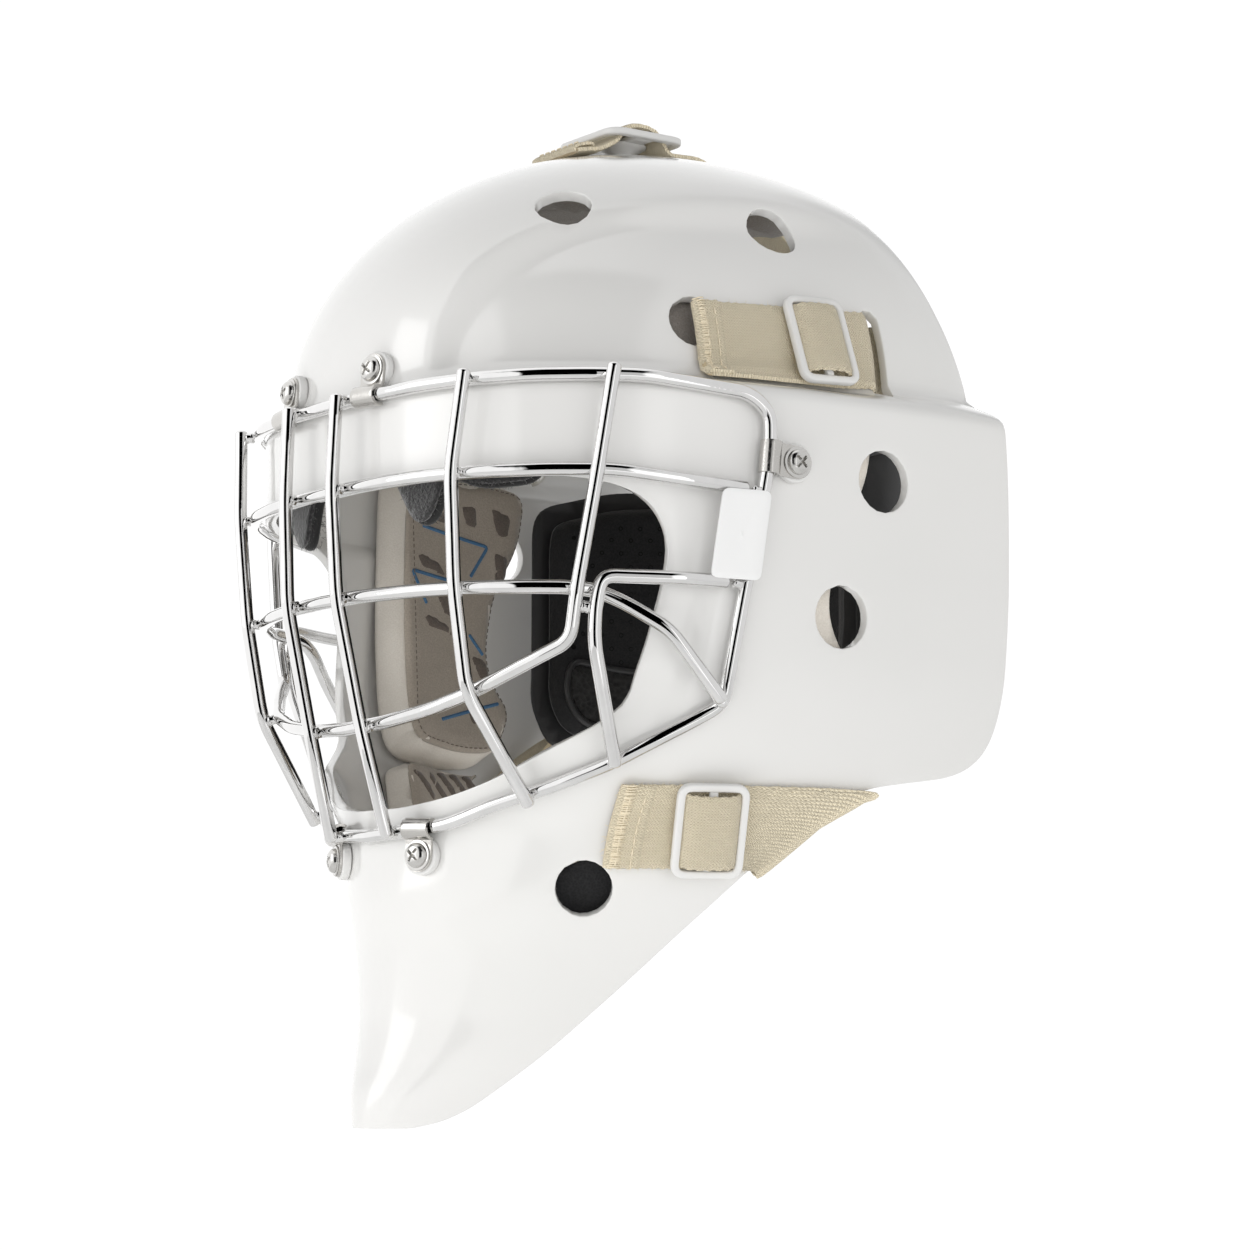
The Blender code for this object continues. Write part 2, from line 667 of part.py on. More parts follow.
def build_clips():
    for side, tag in ((1, "left"), (-1, "right")):
        def pair(point):
            return Vector((point.x * side, point.y, point.z))
        clip_fixing(f"brow_{tag}", pair(on_front(27, CAGE_TOP, LIFT)), pair(on_front(26.5, 75.5)))
        clip_fixing(f"chin_{tag}", pair(on_front(25.5, -78.2, LIFT)), pair(on_front(25, -87.5)))
        clip_fixing(f"temple_{tag}", pair(on_side(-26.5, 43, LIFT)), pair(on_side(-16.5, 42)))


# ---------------------------------------------------------------- straps and sliders
def ribbon(name, stations, columns=3, mat="webbing", thickness=STRAP_T):
    """A strap through stations, each a function from -1..1 across the strap to a point of its middle layer."""
    return grid_sheet(
        name, len(stations), columns, lambda u, v: stations[round(u * (len(stations) - 1))](2 * v - 1), thickness, mat
    )


TEMPLE_LIFT = STRAP_T / 2 + 0.8


def temple_line(y):
    """Height of the temple strap's centre line at y."""
    return 85.5 + 3.0 * (y + 41) / 70


def build_temple_strap(side, tag):
    def over(y, lift):
        return lambda w: on_side(y, temple_line(y) + w * STRAP / 2, lift, side)

    def inside(x, y, z):
        return lambda w: Vector((x * side, y, z + w * STRAP / 2))

    stations = [over(y, TEMPLE_LIFT) for y in (-41, -30, -18, -6, 6, 16, 24)]
    stations += [over(29, 1.2), over(31.4, -1.8), over(33.4, -6.4), over(40, -8.8), over(50, -9.5), over(60, -12)]
    stations += [inside(84, 72, 88), inside(72, 84, 88), inside(58, 94, 88)]
    ribbon(f"temple_strap_{tag}", stations)
    slider(f"temple_slider_{tag}", [over(y, TEMPLE_LIFT) for y in (0, 5, 10)], side)


def jaw_edge(z):
    """y of the jaw edge at height z."""
    for (y0, z0), (y1, z1) in zip(SIDE_OUTLINE, SIDE_OUTLINE[1:]):
        if z0 <= z <= z1:
            return y0 + (y1 - y0) * (z - z0) / (z1 - z0)
    return SIDE_OUTLINE[-1][0]


JAW_Z = -78.0
JAW_LIFT = STRAP_T / 2 + 1.0


def build_jaw_strap(side, tag):
    """Along the cheek, round the slanted jaw edge and up inside the flap to the backplate."""
    def fibre(w):
        return JAW_Z + w * STRAP / 2

    def outer(y, lift=JAW_LIFT):
        def at(w):
            along = y + (jaw_edge(fibre(w)) - jaw_edge(JAW_Z)) * max(0, (y + 20) / 20)
            return on_side(along, fibre(w), lift, side)
        return at

    def past(dy, dz, lift):
        return lambda w: on_side(jaw_edge(fibre(w)) + dy, fibre(w) + dz, lift, side)

    stations = [outer(y) for y in (-61, -50, -39, -28, -18, -8)]
    stations += [past(0.6, -0.6, JAW_LIFT), past(3, -3, 0), past(3.8, -3.8, -4), past(1.4, -1.4, -7.6),
                 past(0.5, 8, -7.9), past(6, 18, -7.5), past(14, 26, -8)]
    ribbon(f"jaw_strap_{tag}", stations, 5)
    slider(f"jaw_slider_{tag}", [outer(y) for y in (-38, -33.5, -29)], side)


def slider(name, strap, side):
    """Tri-glide over three stations of a strap: a rounded frame with a bar across its middle."""
    behind, middle, ahead = strap
    along = ahead(0) - behind(0)
    out = along.cross(middle(1) - middle(-1)).normalized() * side
    at = middle(0) + out * (STRAP_T / 2 + GAP + SLIDER_T / 2 + 1.0)
    place = frame_at(at, out, along)
    window = (SLIDER_L - 3 * SLIDER_BAR) / 2
    middle_of = (window + SLIDER_BAR) / 2
    outlines = [box_outline(SLIDER_L, SLIDER_H, 4)]
    outlines += [box_outline(window, SLIDER_H - 4.4, 1.5, x) for x in (-middle_of, middle_of)]
    plate(name, outlines, SLIDER_T, place, "white_plastic")


CROWN_AT = (0.0, -2.0)  # x, y of the crown post


def build_crown():
    """The crown strap, its white bracket on a post, and the loop that goes through the crown slot."""
    x, y = CROWN_AT
    foot = on_crown(x, y)
    place = frame_at(foot, (0, 0, 1), (0, 1, 0))
    height = 5.2
    outlines = [box_outline(34, 37, 5)] + [box_outline(9.2, 31.6, 2.5, x) for x in (-9.0, 9.0)]
    bracket = as_mesh(plate("crown_bracket", outlines, 2.8, place @ Matrix.Translation((0, 0, height + 1.4))))
    bracket.data.materials.append(MATERIALS["white_plastic"])
    profile = [(0, height + 1.0), (4.4, height + 1.0), (4.4, 2.2), (6.5, 1.6), (6.5, GAP), (0, GAP)]
    post = turned("crown_post", profile, place, None, 14, CUTTERS)
    mod = bracket.modifiers.new("post", "BOOLEAN")
    mod.operation = "UNION"
    mod.object = post

    def across(y, z):
        return lambda w: Vector((w * STRAP / 2, y, z))

    top = foot.z + height + 1.4
    tail = [across(-31, on_crown(0, -31).z + 1.9), across(-21, on_crown(0, -21).z + 2.1),
            across(y - 13.6, foot.z + 2.6), across(y - 9.4, top - 1.2), across(y - 7.4, top + 2.9),
            across(y, top + 4.6), across(y + 7.4, top + 2.9), across(y + 9.4, top - 1.2),
            across(y + 13.6, foot.z + 2.2),
            across(24, on_crown(0, 24).z + 2.1), across(28, on_crown(0, 28).z + 1.2),
            across(30.4, on_crown(0, 30).z - 1.6), across(33, on_crown(0, 33).z - 6),
            across(40, on_crown(0, 40).z - 8), across(52, on_crown(0, 52).z - 8.5), across(66, 149), across(78, 137),
            across(86.5, 124), across(89.5, 110)]
    ribbon("crown_strap", tail, 3)


# ---------------------------------------------------------------- pads
PAD_LIFT = -SHELL_WALL - 3.3


def side_pad(name, outline, thickness, side):
    middle = PAD_LIFT - thickness / 2
    return outline_sheet(
        name, rounded(outline, 10, 2), lambda y, z, t: on_side(y, z, middle + t, side), 16, thickness, "pad_foam"
    )


CHEEK_PAD = (
    (-42, 65), (-4, 67), (24, 64), (21, 40), (8, 20), (3, -8), (16, -28), (5, -48), (-18, -50), (-46, -46),
)
JAW_PAD = ((-48, -50.5), (-18, -54.5), (-2, -53.5), (-15, -66), (-37, -90), (-58, -84))


TEMPLE_PAD = ((-60, 81), (-30, 80.5), (4, 81), (14, 84), (14, 100), (-2, 112), (-30, 116), (-52, 108))
CHIN_PAD = ((-88, -118), (-84, -99), (-64, -88.5), (-44, -93), (-40, -106), (-56, -124), (-74, -140))


def build_pads():
    for side, tag in ((1, "left"), (-1, "right")):
        side_pad(f"cheek_pad_{tag}", CHEEK_PAD, 15.0, side)
        side_pad(f"jaw_pad_{tag}", JAW_PAD, 11.0, side)
        side_pad(f"temple_pad_{tag}", TEMPLE_PAD, 9.0, side)
        side_pad(f"chin_pad_{tag}", CHIN_PAD, 7.0, side)
    thick = 7.0
    lift = PAD_LIFT - thick / 2
    half = [(0, 68), (56, 66), (80, 60), (87, 46), (85, 34), (66, 33), (54, 39), (45, 23), (37, 22), (26, 42), (0, 46)]
    band = half + [(-x, z) for x, z in half[-2:0:-1]]
    outline_sheet("sweatband", rounded(band, 6, 2), lambda x, z, t: on_front(x, z, lift + t), 14, thick, "black_fabric")
    crown = [(-44, -58), (44, -58), (56, -20), (50, 16), (20, 18), (-20, 18), (-50, 16), (-56, -20)]
    outline_sheet("crown_pad", rounded(crown, 10, 2), lambda x, y, t: on_crown(x, y, PAD_LIFT - 5 + t), 16, 9.0,
                  "pad_foam")


# ---------------------------------------------------------------- backplate and chin cup
PLATE_HALF = 94.0
PLATE_REAR = 104.0
PLATE_Y = 22.0


def head_curve(arc, z):
    """Point behind the head: arc is the distance round it from the mid-plane, z the height."""
    # the head narrows upwards above the ears and downwards to the neck
    scale = 1 - 0.36 * ease(z, 45, 150) - 0.10 * ease(-z, 5, 75)
    half, rear = PLATE_HALF * scale, (PLATE_REAR - PLATE_Y) * scale
    steps = 60
    travelled, last = 0.0, Vector((0, PLATE_Y + rear, z))
    sign = 1 if arc >= 0 else -1
    for i in range(1, steps + 1):
        a = math.pi / 2 * i / steps
        p = Vector((half * math.sin(a) ** 0.87, PLATE_Y + rear * math.cos(a) ** 0.87, z))
        length = (p - last).length
        if travelled + length >= abs(arc):
            p = last.lerp(p, (abs(arc) - travelled) / length)
            return Vector((p.x * sign, p.y, z))
        travelled, last = travelled + length, p
    return Vector((last.x * sign, last.y - (abs(arc) - travelled), z))


def behind_head(arc, z, out=0.0):
    """The same point moved away from the head by out."""
    round_it = head_curve(arc + 4, z) - head_curve(arc - 4, z)
    up = head_curve(arc, z + 4) - head_curve(arc, z - 4)
    return head_curve(arc, z) + up.cross(round_it).normalized() * out


PLATE_OUTLINE = (
    (16, 126), (18, 104), (48, 101), (56, 94), (56, 80), (46, 74), (22, 68), (20, 56), (44, 61), (76, 65), (104, 64),
    (134, 57), (140, 50), (140, -20), (130, -36), (100, -46), (60, -52), (24, -54),
)
LINER_OUTLINE = (
    (17, 50), (42, 55), (76, 59), (104, 58), (131, 51), (134, 44), (134, -18), (126, -31), (97, -40), (58, -46),
    (22, -48),
)


def mirrored_outline(half, radius):
    return rounded(list(half) + [(-a, b) for a, b in half[::-1]], radius, 2)


BACKPLATE_PIVOT = (0.0, 60.0, 150.0)  # the backplate swings about this point's X line, under the crown's rear edge


def build_backplate():
    outer = outline_sheet("backplate", mirrored_outline(PLATE_OUTLINE, 7), lambda a, z, t: behind_head(a, z, 1.9 + t), 20,
                          3.0, "black_plastic")
    liner = outline_sheet("backplate_liner", mirrored_outline(LINER_OUTLINE, 7),
                          lambda a, z, t: behind_head(a, z, t - 6.4), 20, 9.0, "black_plastic")
    hang((outer, liner), "backplate_pivot", BACKPLATE_PIVOT)


CHIN_PIVOT = (0.0, -63.8, -72.0)  # above the cup's centre of mass, so that it hangs


def build_chin_cup():
    """A shallow cup under the chin with its sling running up to both cheeks, as one sewn piece."""
    def sling(u, v):
        across = 2 * u - 1
        x = 62 * across
        drop = 1 - across**2
        y = -54 - 13 * drop + (v - 0.5) * (20 + 24 * drop)
        lip = 9 * drop * (abs(2 * v - 1) ** 2) * (1.2 if v < 0.5 else 0.4)
        return Vector((x, y, -70 - 30 * drop + lip))

    cup = grid_sheet("chin_cup", 13, 5, sling, 5.0, "pad_foam")
    hang((cup,), "chin_cup_pivot", CHIN_PIVOT)


build_shell()
build_cage()
build_clips()
for side_sign, side_name in ((1, "left"), (-1, "right")):
    build_temple_strap(side_sign, side_name)
    build_jaw_strap(side_sign, side_name)
build_crown()
build_pads()
build_backplate()
build_chin_cup()
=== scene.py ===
"""Looks of an ice hockey goalie mask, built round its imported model.

Lengths in the shape code are millimetres in the model's frame: +Z up, the mask faces -Y, and the wearer's
left is +X. MM turns them into metres when a mesh is made.
"""
import math

import bmesh
import bpy
import numpy as np
from mathutils import Matrix, Vector


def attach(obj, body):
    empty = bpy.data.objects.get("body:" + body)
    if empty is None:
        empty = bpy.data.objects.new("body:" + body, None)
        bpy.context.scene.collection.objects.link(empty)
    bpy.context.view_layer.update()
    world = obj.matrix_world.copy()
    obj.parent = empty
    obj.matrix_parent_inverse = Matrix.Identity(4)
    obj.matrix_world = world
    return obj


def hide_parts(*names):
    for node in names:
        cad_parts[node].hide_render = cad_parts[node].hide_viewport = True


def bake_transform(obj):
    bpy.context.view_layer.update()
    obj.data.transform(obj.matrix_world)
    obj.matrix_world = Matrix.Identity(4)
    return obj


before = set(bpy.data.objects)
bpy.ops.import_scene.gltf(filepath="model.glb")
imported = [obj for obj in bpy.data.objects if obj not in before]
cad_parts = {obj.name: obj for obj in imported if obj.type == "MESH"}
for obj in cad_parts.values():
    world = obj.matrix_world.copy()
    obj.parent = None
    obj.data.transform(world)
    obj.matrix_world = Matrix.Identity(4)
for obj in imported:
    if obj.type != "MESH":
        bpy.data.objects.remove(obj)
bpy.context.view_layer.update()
MM = 0.001
SIDES = ((1, "left"), (-1, "right"))

# ---------------------------------------------------------------- the shell's form, as in the model
WALL = 4.0
CHIN_Z = -178.6
DOME_BASE, DOME_MID, DOME_RISE = 75.0, 70.0, 102.0
DOME_HALF, DOME_REAR, DOME_Y, DOME_POWER = 108.0, 127.0, 15.0, 2.15
SECTIONS = np.array((
    (-180, -112, 25, -64, 2.0), (-168, -111, 33, -58, 2.0), (-155, -107.5, 46, -42, 2.0),
    (-140, -105, 59, -22, 2.0), (-120, -104.5, 75, -2, 2.0), (-99, -106, 91, 15, 2.0),
    (-80, -105, 102, 30, 2.05), (-66, -106, 108, 38, 2.2), (-50, -110, 113, 42, 2.4),
    (-20, -117, 118, 45, 2.7), (10, -121, 119, 45, 2.85), (40, -124, 119, 45, 2.9),
    (64, -124, 119, 45, 2.9), (75, -123, 108, 18, 2.45),
), float)
SIDE_OUTLINE = (
    (-101, -178.6), (-90, -176), (-78, -168), (-51, -138), (-19, -96), (4, -74), (20, -65), (40, -62),
    (60, -59.5), (72, -53), (78, -40), (80, -10), (81, 20), (81, 45), (80, 62), (79, 76), (75, 90),
    (69, 110), (63, 130), (56, 148), (50, 160), (47, 185),
)
PORT_OUTLINE = (
    (0, 39), (35, 38.5), (65, 35.5), (90, 34.5), (102, 31), (106.3, 22), (106.6, 8), (103.5, -10),
    (98, -28), (89, -43), (63, -58.5), (40, -67), (18, -70.5), (0, -71),
)
SIDE_HOLES = ((22.5, 39.5, 10.7), (4.5, -8.0, 10.7), (-41.0, 93.0, 9.2), (-66.0, -99.0, 9.6))
CROWN_HOLES = ((59.0, -69.0, 9.8), (84.5, 4.0, 9.8))
SLOT = (32.0, 87.5, 8.0, 34.0)
CROWN_SLOT = (31.0, 34.0, 8.0)
WIRE = 4.76
GAP = 0.35
STRAP, STRAP_T = 28.0, 2.2


def monotone(xs, ys, x):
    """Monotone cubic through the stations, for an array of x."""
    h = np.diff(xs)
    d = np.diff(ys) / h
    m = np.zeros(len(xs))
    m[0], m[-1] = d[0], d[-1]
    for i in range(1, len(xs) - 1):
        if d[i - 1] * d[i] > 0:
            m[i] = 3 * (h[i - 1] + h[i]) / ((2 * h[i] + h[i - 1]) / d[i - 1] + (h[i] + 2 * h[i - 1]) / d[i])
    x = np.clip(x, xs[0], xs[-1])
    i = np.clip(np.searchsorted(xs, x) - 1, 0, len(h) - 1)
    t = (x - xs[i]) / h[i]
    return ((1 + 2 * t) * (1 - t) ** 2 * ys[i] + t * (1 - t) ** 2 * h[i] * m[i]
            + t * t * (3 - 2 * t) * ys[i + 1] + t * t * (t - 1) * h[i] * m[i + 1])


def section(z):
    """Front y, half width, widest y, squareness, rear length and rear squareness at heights z."""
    z = np.asarray(z, float)
    front, half, widest, power = (monotone(SECTIONS[:, 0], SECTIONS[:, k], z) for k in (1, 2, 3, 4))
    blend = np.clip((z - 60) / (DOME_BASE - 60), 0, 1)
    rear, rear_power = 150 + (DOME_REAR - 150) * blend, 2.5 - 0.2 * blend
    rise = np.clip((z - DOME_MID) / DOME_RISE, 0.0, 0.99995)
    start = (DOME_BASE - DOME_MID) / DOME_RISE
    shrink = np.sqrt((1 - rise**2) / (1 - start**2))
    forward = ((1 - rise**DOME_POWER) / (1 - start**DOME_POWER)) ** (1 / DOME_POWER)
    up = np.clip((z - DOME_BASE) / (DOME_MID + DOME_RISE - DOME_BASE), 0, 1)
    dome = z > DOME_BASE
    return (
        np.where(dome, DOME_Y - (DOME_Y + 123) * forward, front), np.where(dome, DOME_HALF * shrink, half),
        np.where(dome, 18 + (DOME_Y - 18) * np.minimum(3 * up, 1), widest),
        np.where(dome, 2.45 - 0.4 * up, power),
        np.where(dome, DOME_REAR * shrink, rear), np.where(dome, 2.3, rear_power),
    )


def level(p):
    """Below 0 inside the shell's outer surface, above 0 outside it, for an array of points."""
    front, half, widest, power, rear, rear_power = section(p[..., 2])
    x, y = np.abs(p[..., 0]), p[..., 1]
    ahead = (x / half) ** power + (np.clip(widest - y, 0, None) / (widest - front)) ** power
    behind = (x / half) ** rear_power + (np.clip(y - widest, 0, None) / rear) ** rear_power
    return np.where(y < widest, ahead, behind) - 1


def normals(p, step=0.05):
    grad = np.stack([level(p + step * axis) - level(p - step * axis) for axis in np.eye(3)], -1)
    return grad / np.linalg.norm(grad, axis=-1, keepdims=True)


def ease(value, low, high):
    t = np.clip((value - low) / (high - low), 0, 1)
    return t * t * (3 - 2 * t)


def relief(p, fine=False):
    """How far the surface is sunk: below the crown band and, when fine, in the hollow round the port."""
    x, y, z = np.abs(p[..., 0]), p[..., 1], p[..., 2]
    crease = 46 + 30 * np.sin(np.pi / 2 * np.clip((y + 112) / 110, 0, 1))
    fade = 1 - ease(y, 10, 55)
    if not fine:
        return 3.5 * fade * ease(x - crease, -2, 9) * ease(z, 68, 78)
    panel = 5.0 * fade * ease(x - crease, -1, 9.5) * ease(z, 67, 78)
    hollow = (2.3 * (1 - ease(z, 32.2, 36.2)) * (1 - ease(y - 0.18 * z, -50, -41))
              * ease(z + 0.35 * x, -30, -6))
    return panel + hollow


def raised(point, lift=0.0, fine=False):
    p = np.asarray(point, float)
    return p + normals(p) * (lift - relief(p, fine))[..., None]


def on_side(y, z, lift=0.0, side=1, fine=False):
    front, half, widest, power, rear, rear_power = section(z)
    if y < widest:
        x = half * max(1 - ((widest - y) / (widest - front)) ** power, 0) ** (1 / power)
    else:
        x = half * max(1 - ((y - widest) / rear) ** rear_power, 0) ** (1 / rear_power)
    p = raised((x, y, z), lift, fine)
    return Vector((p[0] * side, p[1], p[2]))


def on_front(x, z, lift=0.0):
    front, half, widest, power, _, _ = section(z)
    y = widest - (widest - front) * (1 - (abs(x) / half) ** power) ** (1 / power)
    p = raised((abs(x), y, z), lift)
    return Vector((math.copysign(p[0], x), p[1], p[2]))


def on_crown(x, y, lift=0.0):
    low, high = DOME_BASE, DOME_MID + DOME_RISE - 0.01
    for _ in range(22):
        mid = (low + high) / 2
        low, high = (mid, high) if level(np.array((abs(x), y, mid))) < 0 else (low, mid)
    p = raised((abs(x), y, low), lift)
    return Vector((math.copysign(p[0], x), p[1], p[2]))


def side_points(y, z, lift, side=1):
    """The same as on_side, for arrays."""
    y, z = np.asarray(y, float), np.asarray(z, float)
    front, half, widest, power, rear, rear_power = section(z)
    before = np.clip((widest - y) / (widest - front), 0, 1) ** power
    behind = np.clip((y - widest) / rear, 0, 1) ** rear_power
    root = np.where(y < widest, power, rear_power)
    x = half * np.maximum(1 - np.where(y < widest, before, behind), 0) ** (1 / root)
    return raised(np.stack((x, y, z), -1), lift) * (side, 1, 1)


def front_points(x, z, lift):
    """The same as on_front, for arrays."""
    x, z = np.asarray(x, float), np.asarray(z, float)
    front, half, widest, power, _, _ = section(z)
    y = widest - (widest - front) * (1 - (np.abs(x) / half) ** power) ** (1 / power)
    p = raised(np.stack((np.abs(x), y, z), -1), lift)
    p[..., 0] = np.copysign(p[..., 0], x)
    return p


def crown_points(x, y, lift):
    """The same as on_crown, for arrays."""
    x, y = np.asarray(x, float), np.asarray(y, float)
    low, high = np.full(x.shape, DOME_BASE), np.full(x.shape, DOME_MID + DOME_RISE - 0.01)
    for _ in range(24):
        mid = (low + high) / 2
        under = level(np.stack((np.abs(x), y, mid), -1)) < 0
        low, high = np.where(under, mid, low), np.where(under, high, mid)
    p = raised(np.stack((np.abs(x), y, low), -1), lift)
    p[..., 0] = np.copysign(p[..., 0], x)
    return p


def out_at(p):
    """Outward normal of the shell at a Vector."""
    n = normals(np.array((abs(p.x), p.y, p.z)))
    return Vector((math.copysign(n[0], p.x) if abs(p.x) > 1e-6 else 0.0, n[1], n[2])).normalized()


# ---------------------------------------------------------------- mesh helpers
def new_object(name, mesh, mat):
    obj = bpy.data.objects.new(name, mesh)
    bpy.context.scene.collection.objects.link(obj)
    mesh.shade_smooth()
    mesh.materials.append(mat)
    return obj


def from_bm(bm, name, mat):
    bmesh.ops.recalc_face_normals(bm, faces=bm.faces)
    mesh = bpy.data.meshes.new(name)
    bm.to_mesh(mesh)
    bm.free()
    return new_object(name, mesh, mat)


def placed(piece, body, slot, nodes=()):
    """Parents a piece to the body it rides and hides the nodes it replaces; slot is not used."""
    if body:
        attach(piece, body)
    if nodes:
        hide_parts(*nodes)


def join_rings(bm, rings, loop=False):
    """Quads between each ring of vertices and the next; loop joins the last to the first too."""
    for low, high in zip(rings, rings[1:] + rings[:1] if loop else rings[1:]):
        for k in range(len(low)):
            t = (k + 1) % len(low)
            bm.faces.new((low[k], low[t], high[t], high[k]))


def cap_ends(obj, count, total):
    """Closes a tube made by grid from total rings of count points."""
    bm = bmesh.new()
    bm.from_mesh(obj.data)
    bm.verts.ensure_lookup_table()
    bm.faces.new([bm.verts[c] for c in range(count)][::-1])
    bm.faces.new([bm.verts[(total - 1) * count + c] for c in range(count)])
    bmesh.ops.recalc_face_normals(bm, faces=bm.faces)
    bm.to_mesh(obj.data)
    bm.free()


def apply_all(obj, sharp=None):
    """Replaces the object's mesh by what its modifiers make of it."""
    bpy.context.view_layer.update()
    graph = bpy.context.evaluated_depsgraph_get()
    mesh = bpy.data.meshes.new_from_object(obj.evaluated_get(graph))
    name, mats = obj.name, [s.material for s in obj.material_slots]
    if obj.type == "MESH":
        obj.modifiers.clear()
        old = obj.data
        obj.data = mesh
        bpy.data.meshes.remove(old)
        out = obj
    else:
        place = obj.matrix_world.copy()
        bpy.data.objects.remove(obj)
        out = bpy.data.objects.new(name, mesh)
        bpy.context.scene.collection.objects.link(out)
        out.matrix_world = place
    if not out.data.materials:
        for m in mats:
            out.data.materials.append(m)
    out.data.shade_smooth()
    if sharp:
        out.data.set_sharp_from_angle(angle=math.radians(sharp))
    return out


def modify(obj, kind, **values):
    mod = obj.modifiers.new(kind.lower(), kind)
    for key, value in values.items():
        setattr(mod, key, value)


def grid(name, rows, mat, closed=False, uv=None):
    """A sheet through rows of points in mm. closed joins each row's ends; uv(row, column) is in metres."""
    bm = bmesh.new()
    verts = [[bm.verts.new(Vector(p) * MM) for p in row] for row in rows]
    layer = bm.loops.layers.uv.new("UVMap") if uv else None
    count = len(rows[0])
    for r in range(len(rows) - 1):
        for c in range(count if closed else count - 1):
            d = (c + 1) % count
            face = bm.faces.new((verts[r][c], verts[r][d], verts[r + 1][d], verts[r + 1][c]))
            if uv:
                for loop, key in zip(face.loops, ((r, c), (r, d), (r + 1, d), (r + 1, c))):
                    loop[layer].uv = uv(*key)
    mesh = bpy.data.meshes.new(name)
    bm.to_mesh(mesh)
    bm.free()
    return new_object(name, mesh, mat)


def corner_arc(start, corner, end, steps):
    return [start * (1 - t) ** 2 + corner * 2 * t * (1 - t) + end * t * t
            for t in (s / steps for s in range(steps + 1))]


def bend(points, radius, steps=6):
    """An open route with its corners rounded to about the given radius."""
    pts = [Vector(p) for p in points]
    out = [pts[0]]
    for before, here, after in zip(pts, pts[1:], pts[2:]):
        a, b = before - here, after - here
        reach = min(radius, a.length * 0.45, b.length * 0.45)
        start, end = here + a.normalized() * reach, here + b.normalized() * reach
        out += corner_arc(start, here, end, steps)
    out.append(pts[-1])
    return out


def smooth_route(points, per_span=6, closed=False):
    """A smooth curve through points."""
    pts = [Vector(p) for p in points]
    n = len(pts)
    out = []
    for i in range(n if closed else n - 1):
        a, b = pts[i], pts[(i + 1) % n]
        before = pts[i - 1] if (i or closed) else a
        after = pts[(i + 2) % n] if (i + 2 < n or closed) else b
        ta = (b - before) * (0.5 if (i or closed) else 1.0)
        tb = (after - a) * (0.5 if (i + 2 < n or closed) else 1.0)
        for s in range(per_span):
            t = s / per_span
            out.append(a * (1 + 2 * t) * (1 - t) ** 2 + ta * t * (1 - t) ** 2
                       + b * t * t * (3 - 2 * t) + tb * t * t * (t - 1))
    if not closed:
        out.append(pts[-1])
    return out


# a rod's rounded end as (distance from the tip, width), both in radii
ROD_TIP = ((0, 0.02), (0.03, 0.45), (0.12, 0.72), (0.3, 0.92), (0.55, 1.0))


def rod(name, points, radius, mat, closed=False, resolution=5):
    """A round bar along points, with its two ends rounded off."""
    pts = [Vector(p) for p in points]
    radii = [1.0] * len(pts)
    if not closed:
        for end in (0, -1):
            tip = pts[end]
            back = (pts[1] - tip).normalized() if end == 0 else (pts[-2] - tip).normalized()
            extra = [(tip + back * radius * d, r) for d, r in ROD_TIP]
            if end == 0:
                pts = [p for p, _ in extra] + pts[1:]
                radii = [r for _, r in extra] + radii[1:]
            else:
                pts = pts[:-1] + [p for p, _ in extra[::-1]]
                radii = radii[:-1] + [r for _, r in extra[::-1]]
    curve = bpy.data.curves.new(name, "CURVE")
    curve.dimensions = "3D"
    curve.bevel_depth = radius * MM
    curve.bevel_resolution = resolution
    curve.use_fill_caps = not closed
    spline = curve.splines.new("POLY")
    spline.points.add(len(pts) - 1)
    for target, p, r in zip(spline.points, pts, radii):
        target.co = (p.x * MM, p.y * MM, p.z * MM, 1)
        target.radius = r
    spline.use_cyclic_u = closed
    obj = bpy.data.objects.new(name, curve)
    bpy.context.scene.collection.objects.link(obj)
    curve.materials.append(mat)
    obj = apply_all(obj)
    bm = bmesh.new()
    bm.from_mesh(obj.data)
    bmesh.ops.remove_doubles(bm, verts=bm.verts, dist=1e-6)
    bm.to_mesh(obj.data)
    bm.free()
    return obj


def rounded(points, radius=6.0, steps=2):
    """A closed outline with its corners rounded to about the given radius."""
    out = []
    count = len(points)
    for i in range(count):
        before, here, after = (Vector(points[(i + k) % count]) for k in (-1, 0, 1))
        r0 = min(radius, (before - here).length * 0.45)
        r1 = min(radius, (after - here).length * 0.45)
        start = here + (before - here).normalized() * r0
        end = here + (after - here).normalized() * r1
        out += corner_arc(start, here, end, steps)
    return out


def frame_at(point, out, along):
    """Matrix in mm whose Z is out and whose X lies as near as it can to along, at point."""
    z = Vector(out).normalized()
    x = (Vector(along) - z * z.dot(Vector(along))).normalized()
    return Matrix.Translation(point) @ Matrix((x, z.cross(x), z)).transposed().to_4x4()


def chaikin(points, rounds=3):
    """An open outline with its corners cut smoothly, its ends kept."""
    pts = [np.array(p, float) for p in points]
    for _ in range(rounds):
        out = [pts[0]]
        for a, b in zip(pts, pts[1:]):
            out += [a * 0.75 + b * 0.25, a * 0.25 + b * 0.75]
        pts = out + [pts[-1]]
    return [tuple(float(c) for c in p) for p in pts]


